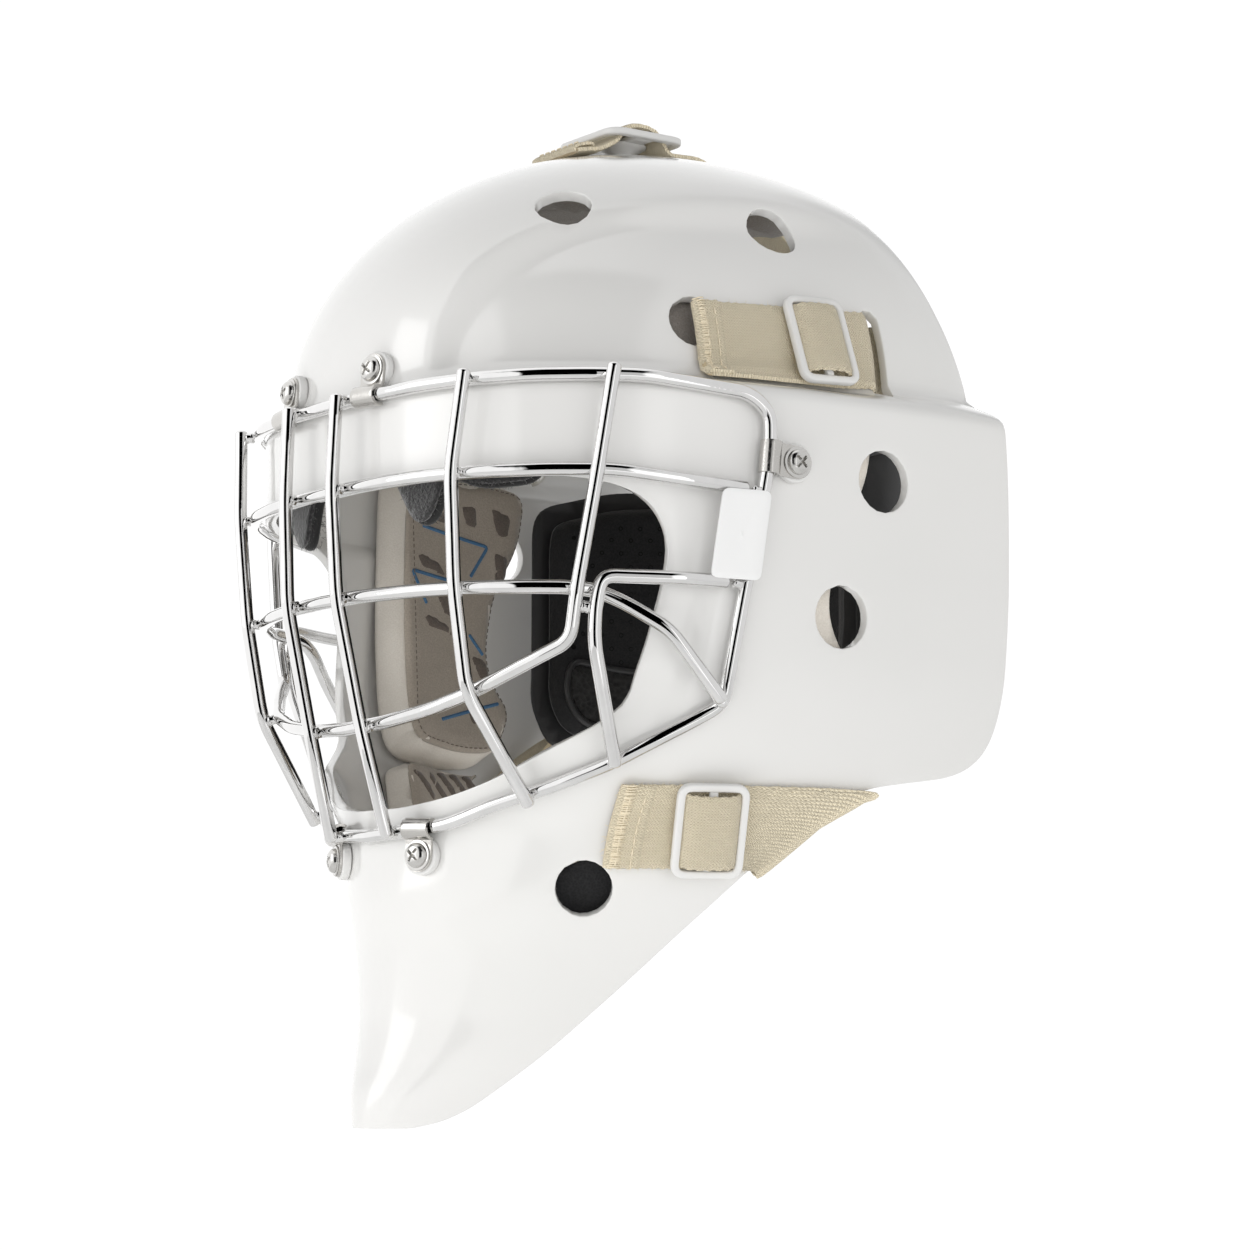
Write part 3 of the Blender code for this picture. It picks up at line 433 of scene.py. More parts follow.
def inside_distance(poly, u, v):
    """Signed distance of points (u, v) to a closed outline, above 0 inside it."""
    poly = np.array([(p[0], p[1]) for p in poly], float)
    a, b = poly, np.roll(poly, -1, axis=0)
    pu, pv = u[..., None], v[..., None]
    d = b - a
    t = np.clip(((pu - a[:, 0]) * d[:, 0] + (pv - a[:, 1]) * d[:, 1]) / (d**2).sum(1), 0, 1)
    dist = np.hypot(pu - a[:, 0] - t * d[:, 0], pv - a[:, 1] - t * d[:, 1]).min(-1)
    rise = np.where(b[:, 1] == a[:, 1], 1e-9, b[:, 1] - a[:, 1])
    crosses = ((a[:, 1] > pv) != (b[:, 1] > pv)) & (
        pu < (b[:, 0] - a[:, 0]) * (pv - a[:, 1]) / rise + a[:, 0])
    return np.where(crosses.sum(-1) % 2 == 1, dist, -dist)


# ---------------------------------------------------------------- materials
def shader_nodes(name):
    mat = bpy.data.materials.new(name)
    mat.use_nodes = True
    tree = mat.node_tree
    return mat, tree, tree.nodes["Principled BSDF"]


def set_inputs(shader, **values):
    for key, value in values.items():
        shader.inputs[key.replace("_", " ")].default_value = value


def noise(tree, scale, detail=3.0, vector=None, roughness=0.5):
    node = tree.nodes.new("ShaderNodeTexNoise")
    node.inputs["Scale"].default_value = scale
    node.inputs["Detail"].default_value = detail
    node.inputs["Roughness"].default_value = roughness
    if vector:
        tree.links.new(vector, node.inputs["Vector"])
    return node


def ramp(tree, fac, stops):
    node = tree.nodes.new("ShaderNodeValToRGB")
    elements = node.color_ramp.elements
    while len(elements) > 1:
        elements.remove(elements[-1])
    elements[0].position = stops[0][0]
    for k, (at, colour) in enumerate(stops):
        element = elements.new(at) if k else elements[0]
        element.color = (*colour, 1.0) if len(colour) == 3 else colour
    tree.links.new(fac, node.inputs["Fac"])
    return node


def grey_ramp(tree, fac, low, high, at=(0.3, 0.7)):
    return ramp(tree, fac, ((at[0], (low,) * 3), (at[1], (high,) * 3)))


def bump(tree, height, distance, strength=1.0, under=None):
    node = tree.nodes.new("ShaderNodeBump")
    node.inputs["Distance"].default_value = distance
    node.inputs["Strength"].default_value = strength
    tree.links.new(height, node.inputs["Height"])
    if under:
        tree.links.new(under.outputs["Normal"], node.inputs["Normal"])
    return node


def mathn(tree, op, a, b=None, c=None):
    node = tree.nodes.new("ShaderNodeMath")
    node.operation = op
    for socket, value in zip(node.inputs, (a, b, c)):
        if value is None:
            continue
        if isinstance(value, (int, float)):
            socket.default_value = value
        else:
            tree.links.new(value, socket)
    return node.outputs[0]


def add(tree, a, b):
    return mathn(tree, "ADD", a, b)


def times(tree, a, b):
    return mathn(tree, "MULTIPLY", a, b)


def position(tree):
    return tree.nodes.new("ShaderNodeTexCoord").outputs["Object"]


def moulded(name, base, tint, roughness, coat=0.0, peel=0.00002, speck=0.0):
    """Moulded plastic: faint colour drift, uneven gloss, and the skin's slight ripple."""
    mat, tree, shader = shader_nodes(name)
    where = position(tree)
    drift = noise(tree, 9.0, 2.0, where)
    colour = ramp(tree, drift.outputs["Fac"], ((0.35, base), (0.65, tint)))
    tree.links.new(colour.outputs["Color"], shader.inputs["Base Color"])
    rub = noise(tree, 24.0, 5.0, where, 0.6)
    gloss = grey_ramp(tree, rub.outputs["Fac"], roughness * 0.85, roughness * 1.2, (0.2, 0.8))
    tree.links.new(gloss.outputs["Color"], shader.inputs["Roughness"])
    skin = noise(tree, 420.0, 2.0, where)
    relief_node = bump(tree, skin.outputs["Fac"], peel)
    if speck:
        grain = noise(tree, 2600.0, 2.0, where)
        relief_node = bump(tree, grain.outputs["Fac"], speck, 1.0, relief_node)
    tree.links.new(relief_node.outputs["Normal"], shader.inputs["Normal"])
    if coat:
        set_inputs(shader, Coat_Weight=coat, Coat_Roughness=0.1, Coat_IOR=1.5)
    return mat


def metal(name, colour, roughness, brushed=0.0):
    """Plated or stamped metal: fine draw lines, faint stain and a slightly rippled plate."""
    mat, tree, shader = shader_nodes(name)
    where = position(tree)
    stain = noise(tree, 140.0, 3.0, where)
    tone = ramp(tree, stain.outputs["Fac"], ((0.3, tuple(c * 0.93 for c in colour)), (0.7, colour)))
    tree.links.new(tone.outputs["Color"], shader.inputs["Base Color"])
    set_inputs(shader, Metallic=1.0)
    rub = noise(tree, 800.0, 2.0, where)
    gloss = grey_ramp(tree, rub.outputs["Fac"], roughness * 0.7, roughness * 1.4)
    tree.links.new(gloss.outputs["Color"], shader.inputs["Roughness"])
    ripple = noise(tree, 220.0, 2.0, where)
    node = bump(tree, ripple.outputs["Fac"], 0.00003)
    if brushed:
        mapping = tree.nodes.new("ShaderNodeMapping")
        mapping.inputs["Scale"].default_value = (1.0, 1.0, 0.04)
        tree.links.new(where, mapping.inputs["Vector"])
        lines = noise(tree, 5200.0, 2.0, mapping.outputs["Vector"])
        node = bump(tree, lines.outputs["Fac"], brushed, 1.0, node)
    tree.links.new(node.outputs["Normal"], shader.inputs["Normal"])
    return mat


def knitted(name, light, dark, rib=0.0011, stitch=0.00105, depth=0.0004):
    """Knitted elastic: ribs along the strap, each a column of slanted loops, with loose fuzz and painted
    shade in the hollows between loops.
    """
    mat, tree, shader = shader_nodes(name)
    uv = tree.nodes.new("ShaderNodeUVMap").outputs["UV"]
    parts = tree.nodes.new("ShaderNodeSeparateXYZ")
    tree.links.new(uv, parts.inputs["Vector"])
    wander = noise(tree, 260.0, 2.0, uv)
    shift = times(tree, mathn(tree, "SUBTRACT", wander.outputs["Fac"], 0.5), 0.0009)
    u = add(tree, parts.outputs["X"], shift)
    v = add(tree, parts.outputs["Y"], shift)
    column = mathn(tree, "PINGPONG", mathn(tree, "DIVIDE", v, rib), 0.5)
    slant = times(tree, column, 2.0)
    row = mathn(tree, "PINGPONG", add(tree, mathn(tree, "DIVIDE", u, stitch), slant), 0.5)
    rounded_row = mathn(tree, "SINE", times(tree, row, math.pi))
    rounded_col = mathn(tree, "SINE", times(tree, column, math.pi))
    height = add(tree, times(tree, rounded_row, 0.72), times(tree, rounded_col, 0.28))
    fuzz = noise(tree, 2400.0, 4.0, uv, 0.7)
    surface = add(tree, height, times(tree, fuzz.outputs["Fac"], 0.55))
    patch = noise(tree, 55.0, 3.0, uv)
    # painted shade: the colour darkens where the loops and fuzz sink, mixed with random patches of tone
    mixed = add(tree, times(tree, surface, 0.62), times(tree, patch.outputs["Fac"], 0.24))
    colour = ramp(tree, mixed, ((0.14, dark), (0.62, light)))
    tree.links.new(colour.outputs["Color"], shader.inputs["Base Color"])
    node = bump(tree, surface, depth * 1.4)
    tree.links.new(node.outputs["Normal"], shader.inputs["Normal"])
    set_inputs(shader, Roughness=0.92, Sheen_Weight=0.25, Sheen_Roughness=0.5)
    shader.inputs["Specular IOR Level"].default_value = 0.2
    return mat


def fabric(name, light, dark, scale=900.0, depth=0.0002, sheen=0.4, fuzzy=0.5):
    """Fine cloth over foam: a tight weave, felt-like fuzz, slow colour drift and painted shade in the weave's
    hollows.
    """
    mat, tree, shader = shader_nodes(name)
    where = position(tree)
    fuzz = noise(tree, scale * 2.2, 5.0, where, 0.7)
    soft = noise(tree, 35.0, 3.0, where)
    cells = tree.nodes.new("ShaderNodeTexVoronoi")
    cells.inputs["Scale"].default_value = scale
    tree.links.new(where, cells.inputs["Vector"])
    height = add(tree, times(tree, cells.outputs["Distance"], 1.0 - fuzzy * 0.5),
                 times(tree, fuzz.outputs["Fac"], fuzzy))
    # painted shade: the tone darkens where the weave sinks; the other half is a slow random drift
    tone = add(tree, times(tree, height, 0.5), times(tree, soft.outputs["Fac"], 0.5))
    colour = ramp(tree, tone, ((0.25, dark), (0.75, light)))
    tree.links.new(colour.outputs["Color"], shader.inputs["Base Color"])
    tree.links.new(bump(tree, height, depth).outputs["Normal"], shader.inputs["Normal"])
    set_inputs(shader, Roughness=0.88, Sheen_Weight=sheen, Sheen_Roughness=0.45)
    shader.inputs["Specular IOR Level"].default_value = 0.25
    return mat


SHELL_MAT = moulded("shell_gelcoat", (0.80, 0.795, 0.775), (0.82, 0.812, 0.795), 0.22, 1.0, 0.00001)
NYLON = moulded("white_nylon", (0.78, 0.775, 0.76), (0.83, 0.825, 0.81), 0.36, 0.0, 0.00002, 0.00001)
CHROME = metal("cage_chrome", (0.80, 0.795, 0.79), 0.028)
STEEL = metal("polished_steel", (0.60, 0.585, 0.56), 0.2, 0.000008)
SCREW_STEEL = metal("screw_steel", (0.66, 0.65, 0.63), 0.16)
LABEL = moulded("label_sheet", (0.90, 0.90, 0.895), (0.92, 0.92, 0.915), 0.35, 0.0, 0.00002, 0.00001)
KNIT = knitted("knitted_elastic", (1.0, 0.89, 0.66), (0.60, 0.45, 0.24))
THREAD = fabric("sewing_thread", (0.93, 0.83, 0.64), (0.76, 0.65, 0.45), 2600.0, 0.0001, 0.2)
PAD_CREAM = fabric("pad_lining_cream", (0.90, 0.85, 0.77), (0.78, 0.72, 0.64), 1700.0, 0.00012, 0.3)
PAD_TAUPE = fabric("pad_fabric_taupe", (0.50, 0.44, 0.37), (0.35, 0.30, 0.25), 1500.0, 0.00015, 0.35)
PAD_DARK = fabric("pad_inset_brown", (0.20, 0.165, 0.14), (0.12, 0.10, 0.085), 1500.0, 0.0002, 0.3)
PAD_BLUE = fabric("pad_line_blue", (0.10, 0.22, 0.38), (0.06, 0.14, 0.26), 1500.0, 0.0001, 0.2)
BLACK_FUZZ = fabric("sweatband_fleece", (0.035, 0.034, 0.034), (0.008, 0.008, 0.009), 700.0, 0.0006, 0.7, 0.9)
BLACK_PIPE = fabric("piping_black", (0.03, 0.03, 0.03), (0.012, 0.012, 0.012), 2200.0, 0.0001, 0.3)
BLACK_FOAM = fabric("liner_foam_black", (0.028, 0.028, 0.029), (0.012, 0.012, 0.013), 1300.0, 0.0001, 0.2,
                    0.3)
BLACK_PLATE = moulded("backplate_plastic", (0.022, 0.022, 0.023), (0.035, 0.035, 0.036), 0.42, 0.0, 0.00003,
                      0.00003)
CUP_SUEDE = fabric("cup_suede", (0.68, 0.60, 0.48), (0.52, 0.44, 0.34), 1500.0, 0.00015, 0.5)
KNIT_FIBRE = fabric("strap_fibre", (0.82, 0.75, 0.58), (0.7, 0.62, 0.45), 2600.0, 0.00005, 0.2)
PAD_GREY = fabric("pad_fabric_grey", (0.30, 0.275, 0.25), (0.20, 0.18, 0.165), 1500.0, 0.00015, 0.3)
FUZZ_FIBRE = fabric("sweatband_fibre", (0.11, 0.105, 0.10), (0.05, 0.048, 0.046), 2600.0, 0.00003, 0.5)
# near-black painted shade standing for the dark inside of each perforation
PERFORATION_SHADE = fabric("perforation_painted_shade", (0.006, 0.006, 0.006), (0.003, 0.003, 0.003), 1500.0, 0.00003, 0.0)
PANEL_BLACK = fabric("panel_textile", (0.045, 0.044, 0.043), (0.012, 0.012, 0.012), 520.0, 0.0006, 0.25, 0.2)


# ---------------------------------------------------------------- shell
def shell_table(rings=420, samples=300):
    """The left half's outer surface: its positions by (row, arc share), and each row's arc length."""
    split = 0.66
    v = np.linspace(0, 1, rings)
    start = math.asin((DOME_BASE - DOME_MID) / DOME_RISE)
    top = math.radians(89.2)
    z = np.where(v < split, CHIN_Z + (DOME_BASE - CHIN_Z) * v / split,
                 DOME_MID + DOME_RISE * np.sin(start + (top - start) * (v - split) / (1 - split)))
    front, half, widest, power, rear, rear_power = (s[:, None] for s in section(z))
    a = np.linspace(0, np.pi, 700)[None, :]
    s, c = np.sin(a), np.cos(a)
    ahead = c >= 0
    n = np.where(ahead, power, rear_power)
    x = half * np.clip(s, 0, 1) ** (2 / n)
    y = np.where(ahead, widest - (widest - front) * np.abs(c) ** (2 / n),
                 widest + rear * np.abs(c) ** (2 / n))
    step = np.hypot(np.diff(x, axis=1), np.diff(y, axis=1))
    arc = np.concatenate([np.zeros((rings, 1)), np.cumsum(step, 1)], 1)
    share = np.linspace(0, 1, samples)
    points = np.zeros((rings, samples, 3))
    for i in range(rings):
        want = share * arc[i, -1]
        points[i, :, 0] = np.interp(want, arc[i], x[i])
        points[i, :, 1] = np.interp(want, arc[i], y[i])
        points[i, :, 2] = z[i]
    return raised(points, np.zeros(points.shape[:2]), True), arc[:, -1]


SURFACE, ARCS = shell_table()


def on_table(table, t, v):
    """Bilinear reading of a table at arc share t and row share v."""
    r = np.clip(v, 0, 1) * (table.shape[0] - 1)
    c = np.clip(t, 0, 1) * (table.shape[1] - 1)
    r0, c0 = np.minimum(r.astype(int), table.shape[0] - 2), np.minimum(c.astype(int), table.shape[1] - 2)
    fr, fc = (r - r0)[..., None], (c - c0)[..., None]
    return ((table[r0, c0] * (1 - fc) + table[r0, c0 + 1] * fc) * (1 - fr)
            + (table[r0 + 1, c0] * (1 - fc) + table[r0 + 1, c0 + 1] * fc) * fr)


def arc_of(v):
    r = np.clip(v, 0, 1) * (len(ARCS) - 1)
    return np.interp(r, np.arange(len(ARCS)), ARCS)


def port_outline():
    """The eye port's half outline as (arc length from the mid-plane, z)."""
    half = smooth_route([Vector((x, z, 0)) for x, z in PORT_OUTLINE], 4)
    out = []
    for p in half:
        front, width, widest, power, _, _ = section(p.y)
        xs = np.linspace(0, min(abs(p.x), width * 0.999), 200)
        ys = widest - (widest - front) * (1 - (xs / width) ** power) ** (1 / power)
        out.append((float(np.hypot(np.diff(xs), np.diff(ys)).sum()), p.y))
    return out


PORT = port_outline()


def local_frames():
    """Round holes and slots on the left half as (matrix, half length, half width, corner radius)."""
    cuts = []
    for y, z, r in SIDE_HOLES:
        p = on_side(y, z)
        cuts.append((frame_at(p, out_at(p), (0, 0, 1)), r, r, r))
    for x, y, r in CROWN_HOLES:
        p = on_crown(x, y)
        cuts.append((frame_at(p, out_at(p), (0, 1, 0)), r, r, r))
    y, z, width, height = SLOT
    p = on_side(y, z)
    cuts.append((frame_at(p, out_at(p), (0, 0, 1)), height / 2, width / 2, width / 2))
    y, width, length = CROWN_SLOT
    p = on_crown(0, y)
    cuts.append((frame_at(p, out_at(p), (1, 0, 0)), width / 2, length / 2, length / 2))
    return [(np.array(m.inverted()), a, b, r) for m, a, b, r in cuts]


CUTS = local_frames()
SIDE_EDGE = chaikin(SIDE_OUTLINE)


def keep_distance(t, v):
    """Above 0 where the shell has material, at arc share t and row share v."""
    p = on_table(SURFACE, t, v)
    keep = inside_distance(SIDE_EDGE + [(-200, 190), (-200, CHIN_Z - 3)], p[..., 1], p[..., 2])
    ahead = p[..., 1] < 20
    mirrored = PORT + [(-a, z) for a, z in PORT[::-1][1:-1]]
    port = inside_distance(mirrored, t * arc_of(v), p[..., 2])
    keep = np.where(ahead, np.minimum(keep, -port), keep)
    for inverse, a, b, r in CUTS:
        q = p @ inverse[:3, :3].T + inverse[:3, 3]
        dx = np.clip(np.abs(q[..., 0]) - (a - r), 0, None)
        dy = np.clip(np.abs(q[..., 1]) - (b - r), 0, None)
        away = np.hypot(dx, dy) - r
        keep = np.where(np.abs(q[..., 2]) < 18, np.minimum(keep, away), keep)
    return keep


def build_shell(step=2.4):
    """The shell's skin on a grid whose points near an edge are moved onto it, then thickened inwards."""
    rows, cols = int(430 / step), int(300 / step)
    v, t = np.meshgrid(np.linspace(0, 1, rows), np.linspace(0, 1, cols), indexing="ij")
    keep = keep_distance(t, v)
    best = np.full(keep.shape, 2.0)
    new_t, new_v = t.copy(), v.copy()
    for dr, dc in ((0, 1), (1, 0)):
        a, b = keep[:rows - dr, :cols - dc], keep[dr:, dc:]
        i0, j0 = np.nonzero((a > 0) != (b > 0))
        i1, j1 = i0 + dr, j0 + dc
        low, high = np.zeros(len(i0)), np.ones(len(i0))
        sign = keep[i0, j0] > 0
        for _ in range(9):
            mid = (low + high) / 2
            k = keep_distance(t[i0, j0] + (t[i1, j1] - t[i0, j0]) * mid,
                              v[i0, j0] + (v[i1, j1] - v[i0, j0]) * mid)
            same = (k > 0) == sign
            low, high = np.where(same, mid, low), np.where(same, high, mid)
        mid = (low + high) / 2
        for n in range(len(i0)):
            near, share = ((i0[n], j0[n]), mid[n]) if mid[n] <= 0.5 else ((i1[n], j1[n]), 1 - mid[n])
            if share < best[near]:
                best[near] = share
                new_t[near] = t[i0[n], j0[n]] + (t[i1[n], j1[n]] - t[i0[n], j0[n]]) * mid[n]
                new_v[near] = v[i0[n], j0[n]] + (v[i1[n], j1[n]] - v[i0[n], j0[n]]) * mid[n]
    keep = np.where(best < 2, 0.0, keep)
    points = on_table(SURFACE, new_t, new_v)
    points[:, 0, 0] = 0.0
    points[:, -1, 0] = 0.0
    bm = bmesh.new()
    made = {}

    def vertex(i, j, side):
        key = (i, j, 1 if j in (0, cols - 1) else side)
        if key not in made:
            p = points[i, j]
            made[key] = bm.verts.new((p[0] * side * MM, p[1] * MM, p[2] * MM))
        return made[key]

    for side in (1, -1):
        for i in range(rows - 1):
            for j in range(cols - 1):
                ring = [(i, j), (i, j + 1), (i + 1, j + 1), (i + 1, j)]
                k = [keep[p] for p in ring]
                if max(k) <= 0:
                    continue
                if min(k) < 0:
                    ring = [p for p, value in zip(ring, k) if value >= 0]
                    if len(ring) < 3:
                        continue
                if side < 0:
                    ring = ring[::-1]
                bm.faces.new([vertex(*p, side) for p in ring])
    bm.faces.new([vertex(rows - 1, j, 1) for j in range(cols)]
                 + [vertex(rows - 1, j, -1) for j in range(cols - 2, 0, -1)])
    bm.verts.index_update()
    mesh = bpy.data.meshes.new("shell_skin")
    bm.to_mesh(mesh)
    bm.free()
    shell = new_object("shell_skin", mesh, SHELL_MAT)
    modify(shell, "SOLIDIFY", thickness=WALL * MM, offset=-1.0, use_even_offset=True,
           use_quality_normals=True)
    modify(shell, "BEVEL", width=1.1 * MM, segments=3, limit_method="ANGLE", angle_limit=math.radians(50),
           harden_normals=False, use_clamp_overlap=True)
    placed(apply_all(shell), "mask", "white_shell", ("shell",))


# ---------------------------------------------------------------- cage
CAGE_TOP = 66.0
LIFT = WIRE / 2 + 1.2
OVER = LIFT + WIRE + GAP
BENDS = 5.0


def perimeter_route():
    top = [on_front(x, CAGE_TOP, LIFT) for x in (0, 14, 30, 50, 68, 84, 96, 104)]
    rear = [on_side(y, z, LIFT) for y, z in ((-34, 64), (-26.5, 58), (-26.5, 45), (-30, 25), (-35, 0),
                                             (-38, -24), (-38.5, -38), (-46, -43))]
    low = [on_front(x, z, LIFT) for x, z in ((94, -50), (84, -57), (70, -64), (52, -70.5), (36, -77),
                                             (16, -79.2), (0, -80))]
    return top + rear + low


def both_sides(points):
    """A route from the mid-plane to the wearer's left, joined to its mirror image."""
    left = [Vector(p) for p in points]
    return [Vector((-p.x, p.y, p.z)) for p in left[:0:-1]] + left


def cage_routes():
    brow = [on_front(x, 36.2, 4.2) for x in (0, 18, 36, 54, 72, 88, 100)]
    brow += [on_side(-52, 33.2, 3.9), on_side(-34.5, 32, LIFT)]
    eye = [(0, -127.2, -1), (22, -125.8, -1), (45, -121, -1.2), (65.5, -113.4, -1.6), (82, -101, -1.9),
           (91, -88.5, -2), (94.5, -79.5, -3), (99.5, -72, -7), on_side(-59, -15, 5.5),
           on_side(-40.5, -36.5, OVER)]
    lower = [(0, -117.3, -43.8), (22, -116.4, -43), (45, -112.7, -40), (64.2, -107.3, -34.8),
             (82, -96.5, -25.5), (92, -88.6, -19.5), (96.7, -89.3, -2), (104.9, -87.1, 35),
             on_front(99.5, 65.5, OVER + 2.8)]
    centre = [on_front(15.6, 67.5, OVER), (15.4, -133.6, 36), (16.2, -131.8, -1), (16.6, -122.2, -43.4),
              on_front(16.4, -81.5, OVER)]
    outer = [on_front(69, 66, OVER + 1.3), (69.4, -120.9, 36), (67.9, -118.3, -1.5), (66.6, -112.5, -35.2),
             on_front(63, -69.5, OVER)]
    cheek = [on_side(-41, 1, 4.2), on_side(-58, 1.5, 4.8), (99.5, -81.5, 1.5), (98.4, -83.2, -8),
             (97.3, -83, -20), on_side(-66, -56.5, OVER)]
    half = bend(perimeter_route(), 6.0, 6)
    routes = {
        "cage_perimeter": half + [Vector((-p.x, p.y, p.z)) for p in half[-2:0:-1]],
        "cage_brow_bar": both_sides(bend(brow, 7, 6)),
        "cage_eye_bar": both_sides(bend(eye, BENDS, 6)),
        "cage_lower_bar": both_sides(bend(lower, BENDS, 6)),
    }
    for side, tag in SIDES:
        for name, points in (("centre", centre), ("outer", outer), ("cheek", cheek)):
            route = [Vector((p[0] * side, p[1], p[2])) for p in points]
            routes[f"cage_{name}_bar_{tag}"] = bend(route, BENDS + 1, 6)
    return routes


def densify(route, step=1.5, closed=False):
    out = []
    pairs = list(zip(route, route[1:] + ([route[0]] if closed else [])))
    for a, b in pairs:
        n = max(int((b - a).length / step), 1)
        out += [a.lerp(b, k / n) for k in range(n)]
    return np.array([tuple(p) for p in out + [route[-1]]])


def weld_points(routes):
    """Where two wires lie on each other: the middle of the gap and its direction."""
    names = list(routes)
    dense = {n: densify(routes[n], closed=n == "cage_perimeter") for n in names}
    found = []
    for i, first in enumerate(names):
        for second in names[i + 1:]:
            a, b = dense[first], dense[second]
            d = np.linalg.norm(a[:, None, :] - b[None, :, :], axis=2)
            near = np.argwhere(d < WIRE + 3.0)
            near = near[np.argsort(d[near[:, 0], near[:, 1]])] if len(near) else near
            kept = []
            for u, v in near:
                mid = (a[u] + b[v]) / 2
                if all(np.linalg.norm(mid - k) > 16 for k in kept):
                    kept.append(mid)
                    found.append((Vector(mid), Vector(b[v] - a[u])))
    return found


def build_cage():
    routes = cage_routes()
    for name, route in routes.items():
        piece = rod("fine_" + name, route, WIRE / 2, CHROME, closed=name == "cage_perimeter", resolution=6)
        placed(piece, "mask", "chrome_wire", (name,))
    bm = bmesh.new()
    for k, (mid, gap) in enumerate(weld_points(routes)):
        place = frame_at(mid, gap, (0.3, 0.2, 0.9))
        made = bmesh.ops.create_icosphere(bm, subdivisions=3, radius=1.0)["verts"]
        for vert in made:
            c = vert.co.copy()
            lump = 1 + 0.08 * math.sin(7 * c.x + k) * math.cos(6 * c.y - k)
            waist = 1.75 + 0.9 * abs(c.z)
            vert.co = place @ Vector((c.x * waist * lump, c.y * waist * lump, c.z * 2.1)) * MM
    placed(from_bm(bm, "cage_welds", CHROME), "mask", "chrome_wire")


def build_label():
    """The blank sheet wrapped round the perimeter wire on the wearer's left."""
    corners = [(-44.5, 31.5), (-28, 31), (-31.5, 1.5), (-48, 2)]
    outline = rounded(corners, 2.5, 4)
    cy = sum(p.x for p in outline) / len(outline)
    cz = sum(p.y for p in outline) / len(outline)

    def wire_y(z):
        return -30 - (25 - z) * 0.2

    def lay(y, z):
        # the sheet bulges over the wire that it is clipped round
        hump = 1.0 * math.exp(-((y - wire_y(z)) / 4.2) ** 2)
        return on_side(y, z, LIFT + 2.55 + hump)

    rows = []
    for k in range(9):
        share = 1 - k / 8
        rows.append([lay(cy + (p.x - cy) * share, cz + (p.y - cz) * share) for p in outline])
    label = grid("label_sheet", rows, LABEL, closed=True)
    modify(label, "SOLIDIFY", thickness=0.7 * MM, offset=0.0)
    modify(label, "BEVEL", width=0.18 * MM, segments=2, limit_method="ANGLE", angle_limit=math.radians(50))
    placed(apply_all(label, 50), "mask", "label_sheet", ("cage_label_plate",))
    # folded tab gripping the wire behind the sheet
    tab_rows = []
    for i in range(15):
        angle = math.radians(-60 + 250 * i / 14)
        row = []
        for j in range(5):
            z = 6 + 20 * j / 4
            centre = on_side(wire_y(z), z, LIFT)
            out = out_at(centre)
            aside = out.cross(Vector((0, 0, 1))).normalized()
            row.append(centre + (out * math.sin(angle) + aside * math.cos(angle)) * (WIRE / 2 + 0.5))
        tab_rows.append(row)
    tab = grid("label_tab", tab_rows, LABEL)
    modify(tab, "SOLIDIFY", thickness=0.5 * MM, offset=1.0)
    placed(apply_all(tab, 40), "mask", "label_sheet")


# ---------------------------------------------------------------- clips and screws
CLIP_T = 1.3
WASHER_T = 1.6


def revolve(name, profile, place, mat, steps=40):
    """A turned piece from (radius, height) pairs."""
    bm = bmesh.new()
    rings = []
    for r, h in profile:
        if r == 0:
            rings.append([bm.verts.new(place @ Vector((0, 0, h)) * MM)])
            continue
        ring = []
        for s in range(steps):
            a = 2 * math.pi * s / steps
            ring.append(bm.verts.new(place @ Vector((r * math.cos(a), r * math.sin(a), h)) * MM))
        rings.append(ring)
    for a, b in zip(rings, rings[1:]):
        for s in range(steps):
            t = (s + 1) % steps
            if len(a) == 1:
                bm.faces.new((a[0], b[s], b[t]))
            elif len(b) == 1:
                bm.faces.new((a[s], b[0], a[t]))
            else:
                bm.faces.new((a[s], b[s], b[t], a[t]))
    obj = from_bm(bm, name, mat)
    obj.data.set_sharp_from_angle(angle=math.radians(42))
    return obj


def disc_profile(radius, low, high, edge=0.4):
    """A disc with rounded rims, as (radius, height) pairs from its top down."""
    arc = [(math.cos(math.radians(a)), math.sin(math.radians(a))) for a in (90, 60, 30, 0)]
    top = [(radius - edge + edge * c, high - edge + edge * s) for c, s in arc]
    low_rim = [(radius - edge + edge * c, low + edge - edge * s) for c, s in arc[::-1]]
    return [(0, high)] + [(radius * 0.5, high)] + top + low_rim + [(radius * 0.5, low), (0, low)]


def screw_head(name, place, radius, base, height, mat):
    """A pan head with a cross recess."""
    rings, steps = 26, 64
    recess = min(height * 0.7, 1.5)
    bm = bmesh.new()
    grid_of = []
    for i in range(1, rings + 1):
        r = radius * i / rings
        row = []
        for s in range(steps):
            a = 2 * math.pi * s / steps
            x, y = r * math.cos(a), r * math.sin(a)
            share = r / radius
            h = base + height * (1 - share**3.2) ** 0.55 if share < 1 else base
            arm = min(abs(x), abs(y))
            reach = max(abs(x), abs(y))
            cut = (ease(-arm, -(0.62 - 0.06 * reach), -(0.36 - 0.05 * reach))
                   * ease(-reach, -radius * 0.62, -radius * 0.5))
            h -= cut * recess
            row.append(bm.verts.new(place @ Vector((x, y, h)) * MM))
        grid_of.append(row)
    middle = bm.verts.new(place @ Vector((0, 0, base + height - recess)) * MM)
    foot = [bm.verts.new(place @ Vector((radius * math.cos(2 * math.pi * s / steps),
                                         radius * math.sin(2 * math.pi * s / steps), base - 0.35)) * MM)
            for s in range(steps)]
    for s in range(steps):
        t = (s + 1) % steps
        bm.faces.new((middle, grid_of[0][s], grid_of[0][t]))
        for a, b in zip(grid_of, grid_of[1:] + [foot]):
            bm.faces.new((a[s], b[s], b[t], a[t]))
    bm.faces.new(foot)
    obj = from_bm(bm, name, mat)
    obj.data.set_sharp_from_angle(angle=math.radians(55))
    return obj


